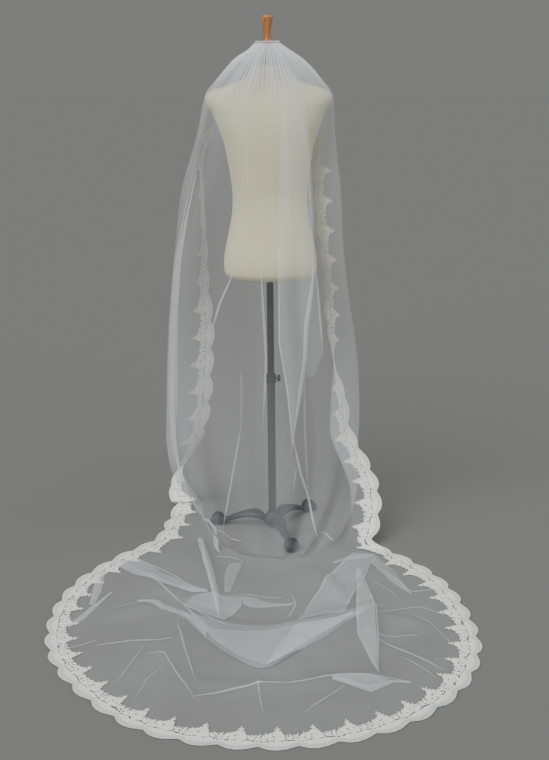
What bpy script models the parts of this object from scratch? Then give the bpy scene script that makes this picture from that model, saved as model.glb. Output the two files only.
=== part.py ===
# Bridal veil on a limbless dress form.
# One tier of tulle is gathered on a heading at the neck, covers both shoulders, hangs round
# the form and spreads into a round train in front of it. A lace trim follows its cut edge.
# Metres, +Z up. The train runs towards -Y, and the form's back faces -Y.

import math

import bmesh
import bpy
import numpy as np

for old in list(bpy.data.objects):
    bpy.data.objects.remove(old, do_unlink=True)

# Driving dimensions

# The stand's axis in the part's frame, whose origin is the middle of the whole footprint
POLE_X = 0.0365
POLE_Y = 0.5275

SEAM_GAP = 0.0003
TULLE_WALL = 0.0010
LACE_WALL = 0.0012
LACE_LIFT = 0.0009
TWIST_LIFT_LEFT = 0.0028
TWIST_LIFT_RIGHT = 0.0012

# Cut of the veil: how far the plain hem strip that carries the lace runs in from the edge
STRIP_COLUMNS = 3
BODY_COLUMNS = 34
GATHERS = 9
GATHER_DEPTH = 0.0045

# The panels that the one length of tulle is parted in: the columns between its back and its two
# sides, and the row where its train starts
LEFT_COLUMN = 9
RIGHT_COLUMN = 31
TRAIN_ROW = 20

# The lace trim
LACE_REPEAT = 0.098
LACE_START_HEIGHT = 1.37

# The train's length along its middle, and its fold of three layers
TRAIN_LENGTH = 1.05
FOLD_STEP = 0.006
FOLD_LEAST = 0.018

# Hanging sections, from the heading down to the floor. left and right are the reaches of the
# widest points from the stand's axis, back is the reach towards -Y, front the reach towards
# +Y. side_l and side_r are the depths of the widest points. wrap_l and wrap_r are how far
# round each side the cloth goes, in degrees, before its hem strip. strip is the strip's
# width, and turn_l and turn_r turn it outwards.
HANG_COLUMNS = ("z", "left", "right", "back", "front", "side_l", "side_r",
                "wrap_l", "wrap_r", "strip", "turn_l", "turn_r")
HANG = (
    (1.617, .038, .038, .038, .038, .000, .000, 95, 95, .008, 0, 0),
    (1.600, .056, .062, .056, .050, .000, .000, 98, 98, .014, 0, 0),
    (1.577, .093, .098, .072, .066, .000, .000, 100, 100, .024, 0, 0),
    (1.540, .131, .140, .085, .082, .000, .000, 103, 103, .040, 0, 0),
    (1.500, .168, .174, .094, .095, .000, .000, 106, 106, .058, 0, 0),
    (1.477, .189, .195, .100, .103, .000, .000, 108, 108, .068, 0, 0),
    (1.447, .2015, .2060, .108, .112, .000, .000, 109, 110, .078, 0, 0),
    (1.400, .2110, .2090, .122, .126, .000, .000, 110, 112, .088, 7, -7),
    (1.365, .218, .2100, .131, .135, .000, .000, 111, 113, .090, 14, -14),
    (1.270, .240, .213, .143, .150, .005, .000, 113, 108, .090, 30, -23),
    (1.137, .274, .219, .153, .160, .010, .000, 123, 104, .090, 42, -27),
    (1.009, .297, .226, .167, .162, .020, .000, 128, 103, .090, 44, -24),
    (0.811, .323, .247, .192, .162, .030, .000, 126, 108, .090, 25, -12),
    (0.675, .336, .266, .208, .164, .035, .000, 125, 117, .090, 8, 10),
    (0.537, .345, .281, .223, .168, .040, .000, 123, 130, .090, 0, 55),
    (0.395, .351, .287, .238, .172, .050, .000, 121, 134, .090, 0, 95),
    (0.287, .352, .282, .250, .178, .070, .000, 114, 132, .090, 0, 105),
    (0.200, .340, .277, .261, .190, .100, -.028, 103, 117, .090, 15, 103),
    (0.130, .317, .272, .271, .205, .135, -.055, 96, 96, .090, 42, 93),
    (0.075, .288, .266, .281, .220, .166, -.085, 91, 82, .090, 68, 76),
    (0.030, .265, .262, .292, .230, .190, -.100, 88, 65, .090, 88, 55),
)
HANG_HEIGHTS = (1.617, 1.600, 1.577, 1.542, 1.505, 1.474, 1.440, 1.395, 1.340, 1.265, 1.165, 1.050,
                .930, .810, .700, .600, .510, .425, .345, .270, .205, .155, .115, .082, .054, .030)

# Folds of the hanging cloth: place across it at the top and at the bottom, from -1 at the
# left hem to 1 at the right, half width, depth (outwards is positive) and heights
FLUTE_COLUMNS = ("top_place", "low_place", "half_width", "depth", "top", "low")
FLUTES = (
    (-.78, -.84, .075, .016, 1.40, .05),
    (-.60, -.62, .070, -.014, 1.35, .05),
    (-.42, -.45, .075, .018, 1.30, .00),
    (-.17, -.27, .065, .020, 1.05, .00),
    (-.04, -.06, .050, -.014, 1.25, .10),
    (.08, .11, .055, .022, 1.10, .00),
    (.22, .24, .050, -.016, 1.10, .00),
    (.34, .33, .060, .020, 1.25, .00),
    (.55, .52, .070, -.015, 1.35, .00),
    (.76, .72, .075, .016, 1.38, .04),
)

# The train's outline on the floor, at the crests of the lace scallops, from where the left
# edge touches down, round the front, to where the right edge does
OUTLINE_COLUMNS = ("x", "y")
OUTLINE = (
    (-.353, .205), (-.378, .060), (-.402, -.080), (-.513, -.221), (-.618, -.396), (-.658, -.610),
    (-.625, -.835), (-.489, -1.061), (-.321, -1.212), (-.136, -1.274), (.030, -1.286), (.180, -1.262),
    (.371, -1.168), (.521, -.994), (.577, -.835), (.580, -.640), (.533, -.415), (.440, -.258), (.370, -.178),
)
LEFT_CORNER = 7
RIGHT_CORNER = 13
SCALLOP_DEPTH = 0.014

# The fold across the train: place along the outline's width, depth of its front edge and of
# its back edge from the stand's axis
TRAIN_FOLD_COLUMNS = ("place", "front_edge", "back_edge")
TRAIN_FOLD = (
    (-1.00, -.560, -.640),
    (-.55, -.560, -.615),
    (-.40, -.600, -.612),
    (-.28, -.700, -.640),
    (-.10, -.860, -.690),
    (.02, -.930, -.705),
    (.14, -.860, -.680),
    (.30, -.740, -.640),
    (.45, -.640, -.605),
    (.58, -.575, -.600),
    (1.00, -.560, -.640),
)

# Soft ridges of the train: ends, height and half width
RIDGE_COLUMNS = ("x0", "y0", "x1", "y1", "height", "half_width")
RIDGES = (
    (-.240, -.170, -.190, -.560, .018, .030),
    (-.440, -.330, -.270, -.520, .014, .028),
    (-.500, -.640, -.330, -.560, .012, .028),
    (-.330, -.880, -.230, -.700, .010, .028),
    (-.260, -.990, .030, -1.020, .010, .030),
    (.060, -1.010, .330, -.950, .012, .030),
    (.270, -.860, .300, -.560, .016, .028),
    (.300, -.640, .470, -.720, .012, .028),
    (.120, -.330, .210, -.540, .016, .030),
    (.310, -.330, .440, -.470, .012, .028),
    (-.060, -.360, -.080, -.600, .010, .030),
)

# The dress form's sections: half width, reach of the back and reach of the front
FORM_COLUMNS = ("z", "half_width", "back", "front")
FORM = (
    (1.552, .0500, .050, .050),
    (1.540, .0525, .052, .052),
    (1.524, .0640, .054, .054),
    (1.509, .0860, .058, .056),
    (1.494, .1270, .062, .058),
    (1.479, .1750, .066, .062),
    (1.464, .1964, .074, .070),
    (1.444, .1970, .084, .082),
    (1.415, .1800, .094, .098),
    (1.375, .1640, .102, .116),
    (1.325, .1450, .104, .132),
    (1.270, .1340, .102, .134),
    (1.210, .1240, .096, .118),
    (1.150, .1190, .090, .102),
    (1.100, .1220, .092, .096),
    (1.050, .1310, .100, .098),
    (1.000, .1420, .110, .102),
    (.955, .1500, .118, .105),
    (.925, .1510, .119, .105),
    (.903, .1460, .114, .101),
    (.890, .1330, .102, .090),
)
FORM_SIDES = 28
FORM_SQUARENESS = 2.25
FORM_SHIFT = 0.00275

# The stand
CAP_RADIUS = 0.030
CAP_HEIGHT = 0.062
POLE_RADIUS = 0.0115
TUBE_RADIUS = 0.0135
CLAMP_HEIGHT = 0.543
KNOB_REACH = 0.032
LEG_TURN = 18.3
HUB_TOP = 0.060
HUB_RADIUS = 0.030


def as_columns(rows, names):
    """A table's columns by name."""
    return {name: np.array([row[k] for row in rows], float) for k, name in enumerate(names)}


def smooth_through(xs, ys, x):
    """Value at x of a smooth curve through the points, with level ends held."""
    order = np.argsort(xs)
    xs, ys = xs[order], ys[order]
    slopes = np.gradient(ys, xs)
    x = np.clip(x, xs[0], xs[-1])
    k = np.clip(np.searchsorted(xs, x) - 1, 0, len(xs) - 2)
    step = xs[k + 1] - xs[k]
    t = (x - xs[k]) / step
    a, b = ys[k], ys[k + 1]
    ma, mb = slopes[k] * step, slopes[k + 1] * step
    return ((2 * t**3 - 3 * t**2 + 1) * a + (t**3 - 2 * t**2 + t) * ma
            + (3 * t**2 - 2 * t**3) * b + (t**3 - t**2) * mb)


def ease(x):
    """0 below 0, 1 above 1, and a soft step between."""
    x = np.clip(x, 0.0, 1.0)
    return x * x * (3 - 2 * x)


def unit(v):
    """Vectors of length 1."""
    return v / np.maximum(np.linalg.norm(v, axis=-1, keepdims=True), 1e-12)


# The tulle's middle surface

hang = as_columns(HANG, HANG_COLUMNS)
flutes = as_columns(FLUTES, FLUTE_COLUMNS)
ridges = as_columns(RIDGES, RIDGE_COLUMNS)
fold = as_columns(TRAIN_FOLD, TRAIN_FOLD_COLUMNS)


def section_at(z):
    """The hanging section's sizes at one height."""
    return {name: float(smooth_through(hang["z"], hang[name], z)) for name in HANG_COLUMNS[1:]}


def section_point(size, c):
    """A point of the section at c, from -1 at the left strip to 1 at the right strip."""
    wrap = math.radians(size["wrap_l"] if c < 0 else size["wrap_r"])
    reach = size["left"] if c < 0 else size["right"]
    side = size["side_l"] if c < 0 else size["side_r"]
    angle = abs(c) * wrap
    depth = side + size["back"] if angle < math.pi / 2 else max(size["front"] - side, 0.01)
    return np.array([math.copysign(reach * math.sin(angle), c), side - depth * math.cos(angle)])


def hanging_row(z):
    """All points across the cloth at one height, left edge first."""
    size = section_at(z)
    places = np.linspace(-1, 1, BODY_COLUMNS + 1)
    row = np.array([section_point(size, c) for c in places])
    along = unit(np.gradient(row, axis=0))
    out = np.stack([along[:, 1], -along[:, 0]], axis=1)
    fall = 1 - ease((z - HANG_HEIGHTS[-1]) / (HANG_HEIGHTS[0] - HANG_HEIGHTS[-1]))
    push = np.zeros(len(places))
    for k in range(len(FLUTES)):
        place = flutes["top_place"][k] + (flutes["low_place"][k] - flutes["top_place"][k]) * fall
        ends = ease((flutes["top"][k] - z) / 0.25) * ease((z - flutes["low"][k]) / 0.12 + 0.25)
        push += flutes["depth"][k] * ends * np.exp(-((places - place) / flutes["half_width"][k])**2)
    gather = GATHER_DEPTH * ease((z - 1.46) / 0.10)
    push += gather * np.sin(2 * math.pi * GATHERS * places) * ease((1 - np.abs(places)) / 0.08)
    row = row + out * push[:, None]
    left = strip_points(row[0], unit(row[0] - row[1]), size["strip"], -size["turn_l"])
    right = strip_points(row[-1], unit(row[-1] - row[-2]), size["strip"], size["turn_r"])
    flat = np.concatenate([left[::-1], row, right])
    return np.column_stack([flat, np.full(len(flat), z)])


def strip_points(start, heading, width, turn):
    """Points of a straight hem strip that leaves the section, turned by an angle."""
    angle = -math.radians(turn)
    c, s = math.cos(angle), math.sin(angle)
    heading = np.array([c * heading[0] - s * heading[1], s * heading[0] + c * heading[1]])
    return np.array([start + heading * width * k / STRIP_COLUMNS for k in range(1, STRIP_COLUMNS + 1)])


def curve_through(points, count_per_span):
    """A smooth closed-form curve through points, sampled evenly inside each span."""
    points = np.asarray(points, float)
    t = np.concatenate([[0], np.cumsum(np.linalg.norm(np.diff(points, axis=0), axis=1))])
    fine = np.concatenate([np.linspace(t[k], t[k + 1], count_per_span, endpoint=False)
                           for k in range(len(t) - 1)] + [[t[-1]]])
    return np.stack([smooth_through(t, points[:, a], fine) for a in (0, 1)], axis=1)


def resample(points, shares):
    """Points at the given shares of a polyline's length."""
    length = np.concatenate([[0], np.cumsum(np.linalg.norm(np.diff(points, axis=0), axis=1))])
    at = np.asarray(shares) * length[-1]
    return np.stack([np.interp(at, length, points[:, a]) for a in range(points.shape[1])], axis=1)


SPAN_SAMPLES = 12
crest_line = curve_through(OUTLINE, SPAN_SAMPLES)
crest_along = unit(np.gradient(crest_line, axis=0))
edge_line = crest_line + SCALLOP_DEPTH * np.stack([-crest_along[:, 1], crest_along[:, 0]], axis=1)
left_edge = edge_line[:LEFT_CORNER * SPAN_SAMPLES + 1]
front_edge = edge_line[LEFT_CORNER * SPAN_SAMPLES:RIGHT_CORNER * SPAN_SAMPLES + 1]
right_edge = edge_line[RIGHT_CORNER * SPAN_SAMPLES:][::-1]

hanging = np.array([hanging_row(z) for z in HANG_HEIGHTS])
column_count = hanging.shape[1]
touch = hanging[-1][:, :2]
touch_step = np.concatenate([[0], np.cumsum(np.linalg.norm(np.diff(touch, axis=0), axis=1))])
across = touch_step / touch_step[-1]
across = 0.5 * across + 0.5 * np.linspace(0, 1, column_count)
front_points = resample(front_edge, across)


def train_point(share):
    """The flat train at one share of its length, for every column."""
    share = np.broadcast_to(np.asarray(share, float), across.shape)
    left = resample(np.vstack([touch[:1], left_edge[1:]]), share)
    right = resample(np.vstack([touch[-1:], right_edge[1:]]), share)
    s, a = share[:, None], across[:, None]
    sides = (1 - a) * left + a * right
    ends = (1 - s) * touch + s * front_points
    corners = ((1 - a) * (1 - s) * touch[0] + a * (1 - s) * touch[-1]
               + (1 - a) * s * front_points[0] + a * s * front_points[-1])
    return sides + ends - corners


def share_at_depth(depth):
    """For every column, the share of the train's length where it reaches a depth."""
    tries = np.linspace(0.02, 0.995, 80)
    depths = np.array([train_point(t)[:, 1] for t in tries])
    out = np.empty(column_count)
    for i in range(column_count):
        out[i] = np.interp(-depth[i], -depths[:, i], tries)
    return out


place_across = 2 * across - 1
fold_front = share_at_depth(smooth_through(fold["place"], fold["front_edge"], place_across))
fold_back = share_at_depth(smooth_through(fold["place"], fold["back_edge"], place_across))
fold_front[:STRIP_COLUMNS + 1] = fold_front[STRIP_COLUMNS + 1]
fold_back[:STRIP_COLUMNS + 1] = fold_back[STRIP_COLUMNS + 1]
fold_front[-STRIP_COLUMNS - 1:] = fold_front[-STRIP_COLUMNS - 2]
fold_back[-STRIP_COLUMNS - 1:] = fold_back[-STRIP_COLUMNS - 2]
# Past its last overlap the fold stands upright for one column, slopes for the next one and
# lies flat beyond
overlapping = (fold_front - fold_back) * TRAIN_LENGTH > FOLD_LEAST
upright = ~overlapping & (np.roll(overlapping, 1) | np.roll(overlapping, -1))
sloping = ~overlapping & ~upright & (np.roll(upright, 1) | np.roll(upright, -1))
ending = upright | sloping
fold_middle = (fold_front + fold_back) / 2
fold_front = np.where(ending, fold_middle, fold_front)
fold_back = np.where(ending, fold_middle, fold_back)
fold_open = np.where(overlapping | ending, 1.0, 0.0)

# Rows of the train: share along the train for every column, and height over the floor
BEFORE_ROWS = 6
CLIMB = 0.05
TOP_ROWS = 2
BACK_ROWS = 1
AFTER_ROWS = 8
FRONT_BEND = (0.0, 50.0, 100.0, 150.0)
BACK_BEND = (30.0, 80.0, 130.0, 180.0)
FOLD_ROWS = TOP_ROWS + 1 + len(FRONT_BEND) + BACK_ROWS + len(BACK_BEND)
LANDING = 0.022


def train_rows():
    """Shares and heights, row by row: the incoming layer, the fold and the last layer."""
    rows = []
    bend = FOLD_STEP / 2 / TRAIN_LENGTH
    bulge = np.where(ending, 0.0, bend)
    sway = np.where(upright, FOLD_STEP / 5 / TRAIN_LENGTH, 0.0)
    slope_run = np.where(sloping, FOLD_STEP / TRAIN_LENGTH, 0.0)
    last = len(FRONT_BEND) + BACK_ROWS + len(BACK_BEND) - 1
    first = np.minimum(fold_front, fold_back)
    step = FOLD_STEP * fold_open
    for k in range(1, BEFORE_ROWS + 1):
        rows.append(((first - CLIMB) * (k / BEFORE_ROWS)**1.4, 0 * step))
    for k in range(TOP_ROWS + 1):
        t = k / (TOP_ROWS + 1)
        rows.append((first - 3 * bend + (fold_front - first + 2.4 * bend) * t, 2 * step))
    folded = []
    for degrees in FRONT_BEND:
        a = math.radians(degrees)
        folded.append((fold_front + bulge * math.sin(a), step * (1.5 + 0.5 * math.cos(a))))
    for k in range(1, BACK_ROWS + 1):
        t = k / (BACK_ROWS + 1)
        folded.append((fold_front + (fold_back - fold_front) * t, step))
    for degrees in BACK_BEND:
        a = math.radians(degrees)
        folded.append((fold_back - bulge * math.sin(a), step * (0.5 + 0.5 * math.cos(a))))
    for k, (share, height) in enumerate(folded):
        t = k / last
        height = np.where(ending, 2 * step * (1 - t), height)
        rows.append((share + sway * math.sin(2 * math.pi * t) + slope_run * (t - 0.5), height))
    for k in range(1, AFTER_ROWS + 1):
        rows.append((fold_back + (1 - fold_back) * k / AFTER_ROWS, 0 * step))
    return spread_flat(rows)


def spread_flat(rows):
    """Where the fold has run out, its rows lie apart instead of on one line."""
    first = BEFORE_ROWS
    start, end = rows[first - 1][0], rows[first + FOLD_ROWS][0]
    for k in range(first, first + FOLD_ROWS):
        share, height = rows[k]
        even = start + (end - start) * (k - first + 1) / (FOLD_ROWS + 1)
        rows[k] = (share * fold_open + even * (1 - fold_open), height)
    return rows


def ridge_height(points):
    """Height of the soft ridges over flat points of the train."""
    total = np.zeros(len(points))
    for k in range(len(RIDGES)):
        a = np.array([ridges["x0"][k], ridges["y0"][k]])
        b = np.array([ridges["x1"][k], ridges["y1"][k]])
        t = np.clip(((points - a) @ (b - a)) / ((b - a) @ (b - a)), 0, 1)
        away = np.linalg.norm(points - a - t[:, None] * (b - a), axis=1)
        taper = 1 - ease(2 * np.abs(t - 0.5) - 0.2)
        bump = np.exp(-(away / ridges["half_width"][k])**2)
        total = np.maximum(total, ridges["height"][k] * bump * (0.25 + 0.75 * taper))
    return total


def middle_surface():
    """The tulle's middle surface as rows of points, from the heading to the train's end."""
    rows = [row for row in hanging]
    start_height = HANG_HEIGHTS[-1]
    inside = ease(np.minimum(across, 1 - across) / 0.10 - 0.6)
    for k, (share, height) in enumerate(train_rows()):
        flat = train_point(share)
        from_touch = np.linalg.norm(flat - touch, axis=1)
        landing = (start_height - TULLE_WALL / 2) * np.exp(-from_touch / LANDING)
        near_end = ease((1 - share) * TRAIN_LENGTH / 0.09 - 1)
        soft = ridge_height(flat) * inside * near_end * ease(from_touch / 0.05)
        if BEFORE_ROWS - 1 <= k <= BEFORE_ROWS + FOLD_ROWS:
            soft = soft * (1 - fold_open)
        rows.append(np.column_stack([flat, TULLE_WALL / 2 + height + landing + soft]))
    return np.array(rows)


def grid_normals(grid):
    """Outward normals of a grid of points: away from the form, and up on the train."""
    down = np.gradient(grid, axis=0)
    over = np.gradient(grid, axis=1)
    return unit(np.cross(down, over))


middle = middle_surface()
normals = grid_normals(middle)
outer_side = middle + normals * TULLE_WALL / 2
inner_side = middle - normals * TULLE_WALL / 2
inner_side[..., 2] = np.maximum(inner_side[..., 2], 0.0)
outer_side[..., 2] = np.maximum(outer_side[..., 2], 0.0)


# Building solids


def material(name, colour, roughness, metallic=0.0):
    """A plain surface of one colour."""
    made = bpy.data.materials.new(name)
    made.use_nodes = True
    shader = made.node_tree.nodes["Principled BSDF"]
    shader.inputs["Base Color"].default_value = (*colour, 1.0)
    shader.inputs["Roughness"].default_value = roughness
    shader.inputs["Metallic"].default_value = metallic
    return made


def add_object(name, bm, finish, smooth_angle=None):
    """Puts a mesh at the stand's axis as a named object."""
    mesh = bpy.data.meshes.new(name)
    bm.to_mesh(mesh)
    bm.free()
    if smooth_angle is not None:
        mesh.shade_smooth()
        mesh.set_sharp_from_angle(angle=math.radians(smooth_angle))
    mesh.materials.append(finish)
    made = bpy.data.objects.new(name, mesh)
    made.location = (POLE_X, POLE_Y, 0.0)
    bpy.context.collection.objects.link(made)
    return made


def wall_between(name, low, high, triangles, finish):
    """A closed wall between two sheets of points that share their triangles."""
    bm = bmesh.new()
    low_verts = [bm.verts.new(p) for p in low]
    high_verts = [bm.verts.new(p) for p in high]
    edges = set()
    for a, b, c in triangles:
        bm.faces.new((high_verts[a], high_verts[b], high_verts[c]))
        bm.faces.new((low_verts[c], low_verts[b], low_verts[a]))
        edges.update(((a, b), (b, c), (c, a)))
    for a, b in sorted(edges):
        if (b, a) not in edges:
            bm.faces.new((high_verts[b], high_verts[a], low_verts[a], low_verts[b]))
    return add_object(name, bm, finish, 50)


def grid_triangles(grid, facing):
    """Triangles of a grid. Each four-sided cell is parted along its sunken diagonal, so that
    nothing of the cell stands out towards the facing side."""
    rows, columns = grid.shape[:2]
    found = []
    for j in range(rows - 1):
        for i in range(columns - 1):
            a, b = j * columns + i, j * columns + i + 1
            c, d = a + columns, b + columns
            rise = (grid[j, i] + grid[j + 1, i + 1] - grid[j, i + 1] - grid[j + 1, i]) @ facing[j, i]
            if rise < 0:
                found += [(a, c, d), (a, d, b)]
            else:
                found += [(a, c, b), (b, c, d)]
    return found


def loft(name, rings, finish, smooth_angle=40):
    """A closed solid through rings of points, from the top ring to the bottom one."""
    bm = bmesh.new()
    verts = [[bm.verts.new(p) for p in ring] for ring in rings]
    count = len(verts[0])
    for upper, lower in zip(verts, verts[1:]):
        for k in range(count):
            bm.faces.new((upper[k], lower[k], lower[(k + 1) % count], upper[(k + 1) % count]))
    bm.faces.new(verts[0])
    bm.faces.new(verts[-1][::-1])
    bmesh.ops.recalc_face_normals(bm, faces=bm.faces)
    return add_object(name, bm, finish, smooth_angle)


def turned(name, profile, finish, sides=20, smooth_angle=40):
    """A turned piece on the stand's axis from a profile of radii and heights."""
    rings = []
    for radius, z in profile:
        rings.append([(radius * math.cos(2 * math.pi * k / sides), radius * math.sin(2 * math.pi * k / sides), z)
                      for k in range(sides)])
    return loft(name, rings, finish, smooth_angle)


tulle_finish = material("tulle", (0.93, 0.94, 0.95), 0.7)
lace_finish = material("lace", (0.90, 0.89, 0.83), 0.8)
jersey_finish = material("cream_jersey", (0.80, 0.77, 0.62), 0.85)
cap_finish = material("neck_cap_metal", (0.42, 0.43, 0.42), 0.5, 0.6)
wood_finish = material("turned_wood", (0.52, 0.25, 0.09), 0.4)
black_finish = material("black_tube", (0.03, 0.03, 0.035), 0.35, 0.5)
iron_finish = material("cast_iron", (0.06, 0.06, 0.065), 0.5, 0.6)


# The tulle

rows_count = middle.shape[0]


def tulle_panel(name, first_row, last_row_here, first_column, last_column_here):
    """One panel of the tulle, half a seam gap in from each panel beside it."""
    rows = slice(first_row, last_row_here + 1)
    columns = slice(first_column, last_column_here + 1)
    sides = []
    for sheet in (inner_side, outer_side):
        side = sheet[rows, columns].copy()
        if first_column > 0:
            side[:, 0] += unit(side[:, 1] - side[:, 0]) * SEAM_GAP / 2
        if last_column_here < column_count - 1:
            side[:, -1] += unit(side[:, -2] - side[:, -1]) * SEAM_GAP / 2
        if first_row > 0:
            side[0] += unit(side[1] - side[0]) * SEAM_GAP / 2
        if last_row_here < rows_count - 1:
            side[-1] += unit(side[-2] - side[-1]) * SEAM_GAP / 2
        sides.append(side)
    inner, outer = sides
    wall_between(name, inner.reshape(-1, 3), outer.reshape(-1, 3),
                 grid_triangles(outer, normals[rows, columns]), tulle_finish)


tulle_panel("veil_tulle", 0, TRAIN_ROW, LEFT_COLUMN, RIGHT_COLUMN)
tulle_panel("veil_tulle_left", 0, TRAIN_ROW, 0, LEFT_COLUMN)
tulle_panel("veil_tulle_right", 0, TRAIN_ROW, RIGHT_COLUMN, column_count - 1)
tulle_panel("veil_tulle_train", TRAIN_ROW, rows_count - 1, 0, column_count - 1)


# The heading that the gathers are sewn into, a short ruched band round the finial's foot

HEADING_SIDES = 6
HEADING_TURNS = 26
HEADING_REACH = 100.0
HEADING_RADIUS = 0.0055
HEADING_FLATNESS = 0.89


def heading():
    """A thin roll bent round the finial, open on the far side."""
    size = section_at(HANG_HEIGHTS[0])
    lift = HANG_HEIGHTS[0] + HEADING_RADIUS * HEADING_FLATNESS + SEAM_GAP
    rings = []
    for k in range(HEADING_TURNS + 1):
        c = -1 + 2 * k / HEADING_TURNS
        angle = math.radians(HEADING_REACH) * c
        radius = HEADING_RADIUS * (0.92 + 0.10 * math.sin(k * 2.1)) * (0.75 if abs(c) == 1 else 1.0)
        centre = size["left"] - 0.003
        out = np.array([math.sin(angle), -math.cos(angle), 0.0])
        ring = []
        for n in range(HEADING_SIDES):
            turn = 2 * math.pi * n / HEADING_SIDES
            ring.append(out * (centre + radius * math.cos(turn)) + np.array([0, 0, lift + radius * math.sin(turn)]))
        rings.append(ring)
    return loft("veil_heading", rings, tulle_finish, 60)


heading()


# The lace trim

# One repeat of the trim. place runs along the edge, outer and inner are distances from the
# tulle's edge, outwards and inwards. cut opens a hole from this line to the next.
LACE_COLUMNS = ("place", "outer", "inner", "cut")
LACE_UNIT = (
    (.00, .000, .040, 0),
    (.12, .007, .049, 0),
    (.24, .012, .044, 1),
    (.36, .014, .058, 0),
    (.50, .014, .076, 0),
    (.59, .013, .048, 0),
    (.80, .007, .043, 0),
)
HOLE_IN = 0.017
HOLE_WIDTH = 0.006
unit_of_lace = as_columns(LACE_UNIT, LACE_COLUMNS)

last_row = rows_count - 1
last_column = column_count - 1
landed = len(HANG_HEIGHTS)
strip_heights = np.maximum(middle[:, :STRIP_COLUMNS + 1, 2].max(axis=1),
                           middle[:, -STRIP_COLUMNS - 1:, 2].max(axis=1))
flat_row = int(np.argmax(strip_heights < TULLE_WALL / 2 + 0.0008))


def on_outer_side(row, column):
    """A point of the tulle's outer side, between its four nearest grid points."""
    j = min(int(row), last_row - 1)
    i = min(max(int(math.floor(column)), 0), last_column - 1)
    a, f = row - j, column - i
    upper = outer_side[j, i] * (1 - f) + outer_side[j, i + 1] * f
    lower = outer_side[j + 1, i] * (1 - f) + outer_side[j + 1, i + 1] * f
    return upper * (1 - a) + lower * a


def trim_line():
    """The tulle's cut edge, left top to right top: its rows, columns and inward directions."""
    rows, columns, inward = [], [], []
    for j in range(rows_count):
        rows.append(j)
        columns.append(0)
        inward.append(outer_side[j, 1] - outer_side[j, 0])
    for i in range(1, column_count):
        rows.append(last_row)
        columns.append(i)
        inward.append(np.zeros(3))
    for j in range(last_row - 1, -1, -1):
        rows.append(j)
        columns.append(last_column)
        inward.append(outer_side[j, -2] - outer_side[j, -1])
    rows, columns, inward = np.array(rows), np.array(columns), np.array(inward)
    points = outer_side[rows, columns]
    along = unit(np.gradient(points, axis=0))
    level = unit(np.stack([-along[:, 1], along[:, 0], 0 * along[:, 0]], axis=1))
    strip_step = np.linalg.norm(inward, axis=1)
    beyond = rows > flat_row
    inward[beyond] = level[beyond]
    outward = unit(np.cross(along, unit(inward)))
    outward[rows >= flat_row] = (0, 0, 1)
    return rows, columns, points, unit(inward), outward, strip_step


edge_rows, edge_columns, edge_points, edge_in, edge_out, edge_step = trim_line()
edge_length = np.concatenate([[0], np.cumsum(np.linalg.norm(np.diff(edge_points, axis=0), axis=1))])
TWIST_LEFT = (0.03, 0.28)
TWIST_RIGHT = (0.03, 0.75)


def at_length(values, s):
    """A value along the edge at length s."""
    if values.ndim == 1:
        return float(np.interp(s, edge_length, values))
    return np.array([np.interp(s, edge_length, values[:, a]) for a in range(values.shape[1])])


def lace_point(s, t):
    """The lace's under side and upper side at length s and distance t in from the edge."""
    row = at_length(edge_rows.astype(float), s)
    out = unit(at_length(edge_out, s))
    if row < flat_row:
        steps_in = t / at_length(edge_step, s)
        on_left = s < edge_length[-1] / 2
        base = on_outer_side(row, steps_in if on_left else last_column - steps_in)
        low_z, high_z = TWIST_LEFT if on_left else TWIST_RIGHT
        twisting = float(ease((base[2] - low_z) / 0.03 + 1) * ease((high_z - base[2]) / 0.05 + 1))
        low = base + out * (LACE_LIFT + (TWIST_LIFT_LEFT if on_left else TWIST_LIFT_RIGHT) * twisting)
    else:
        low = at_length(edge_points, s) + unit(at_length(edge_in, s)) * t
        low[2] = TULLE_WALL + LACE_LIFT
    return low, low + out * LACE_WALL


half_line = len(edge_points) // 2
trim_start = np.interp(-LACE_START_HEIGHT, -edge_points[:half_line, 2], edge_length[:half_line])
trim_end = np.interp(LACE_START_HEIGHT, edge_points[half_line:, 2], edge_length[half_line:])
repeat_count = round((trim_end - trim_start) / LACE_REPEAT)
repeat = (trim_end - trim_start) / repeat_count


def lace_run(name, first, stop):
    """One run of the trim, from one repeat to another, as a closed wall with its holes."""
    lines = []
    for k in range(first, stop):
        for n in range(len(LACE_UNIT)):
            lines.append((k + unit_of_lace["place"][n], unit_of_lace["outer"][n], unit_of_lace["inner"][n],
                          bool(unit_of_lace["cut"][n])))
    lines.append((stop, LACE_UNIT[0][1], LACE_UNIT[0][2], False))
    low, high, columns, places = [], [], [], {}
    for n, (place, outer, inner, cut) in enumerate(lines):
        s = trim_start + place * repeat
        s += SEAM_GAP / 2 if n == 0 else 0.0
        s -= SEAM_GAP / 2 if n == len(lines) - 1 else 0.0
        beside_hole = cut or (n > 0 and lines[n - 1][3])
        depths = [-outer, inner]
        if beside_hole:
            depths = [-outer, HOLE_IN - HOLE_WIDTH / 2, HOLE_IN + HOLE_WIDTH / 2, inner]
        column = []
        for t in depths:
            under, upper = lace_point(s, t)
            places[len(low)] = t
            column.append(len(low))
            low.append(under)
            high.append(upper)
        columns.append((column, cut))
    triangles = []
    for (a, cut), (b, _) in zip(columns, columns[1:]):
        if cut:
            triangles += strip_between(a[:2], b[:2], places) + strip_between(a[2:], b[2:], places)
        else:
            triangles += strip_between(a, b, places)
    wall_between(name, low, high, triangles, lace_finish)


def strip_between(a, b, places):
    """Triangles between two lines of points that run from the edge inwards."""
    found = []
    i = j = 0
    while i < len(a) - 1 or j < len(b) - 1:
        go_a = j == len(b) - 1 or (i < len(a) - 1 and places[a[i + 1]] <= places[b[j + 1]])
        if go_a:
            found.append((a[i], b[j], a[i + 1]))
            i += 1
        else:
            found.append((a[i], b[j], b[j + 1]))
            j += 1
    return found


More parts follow.
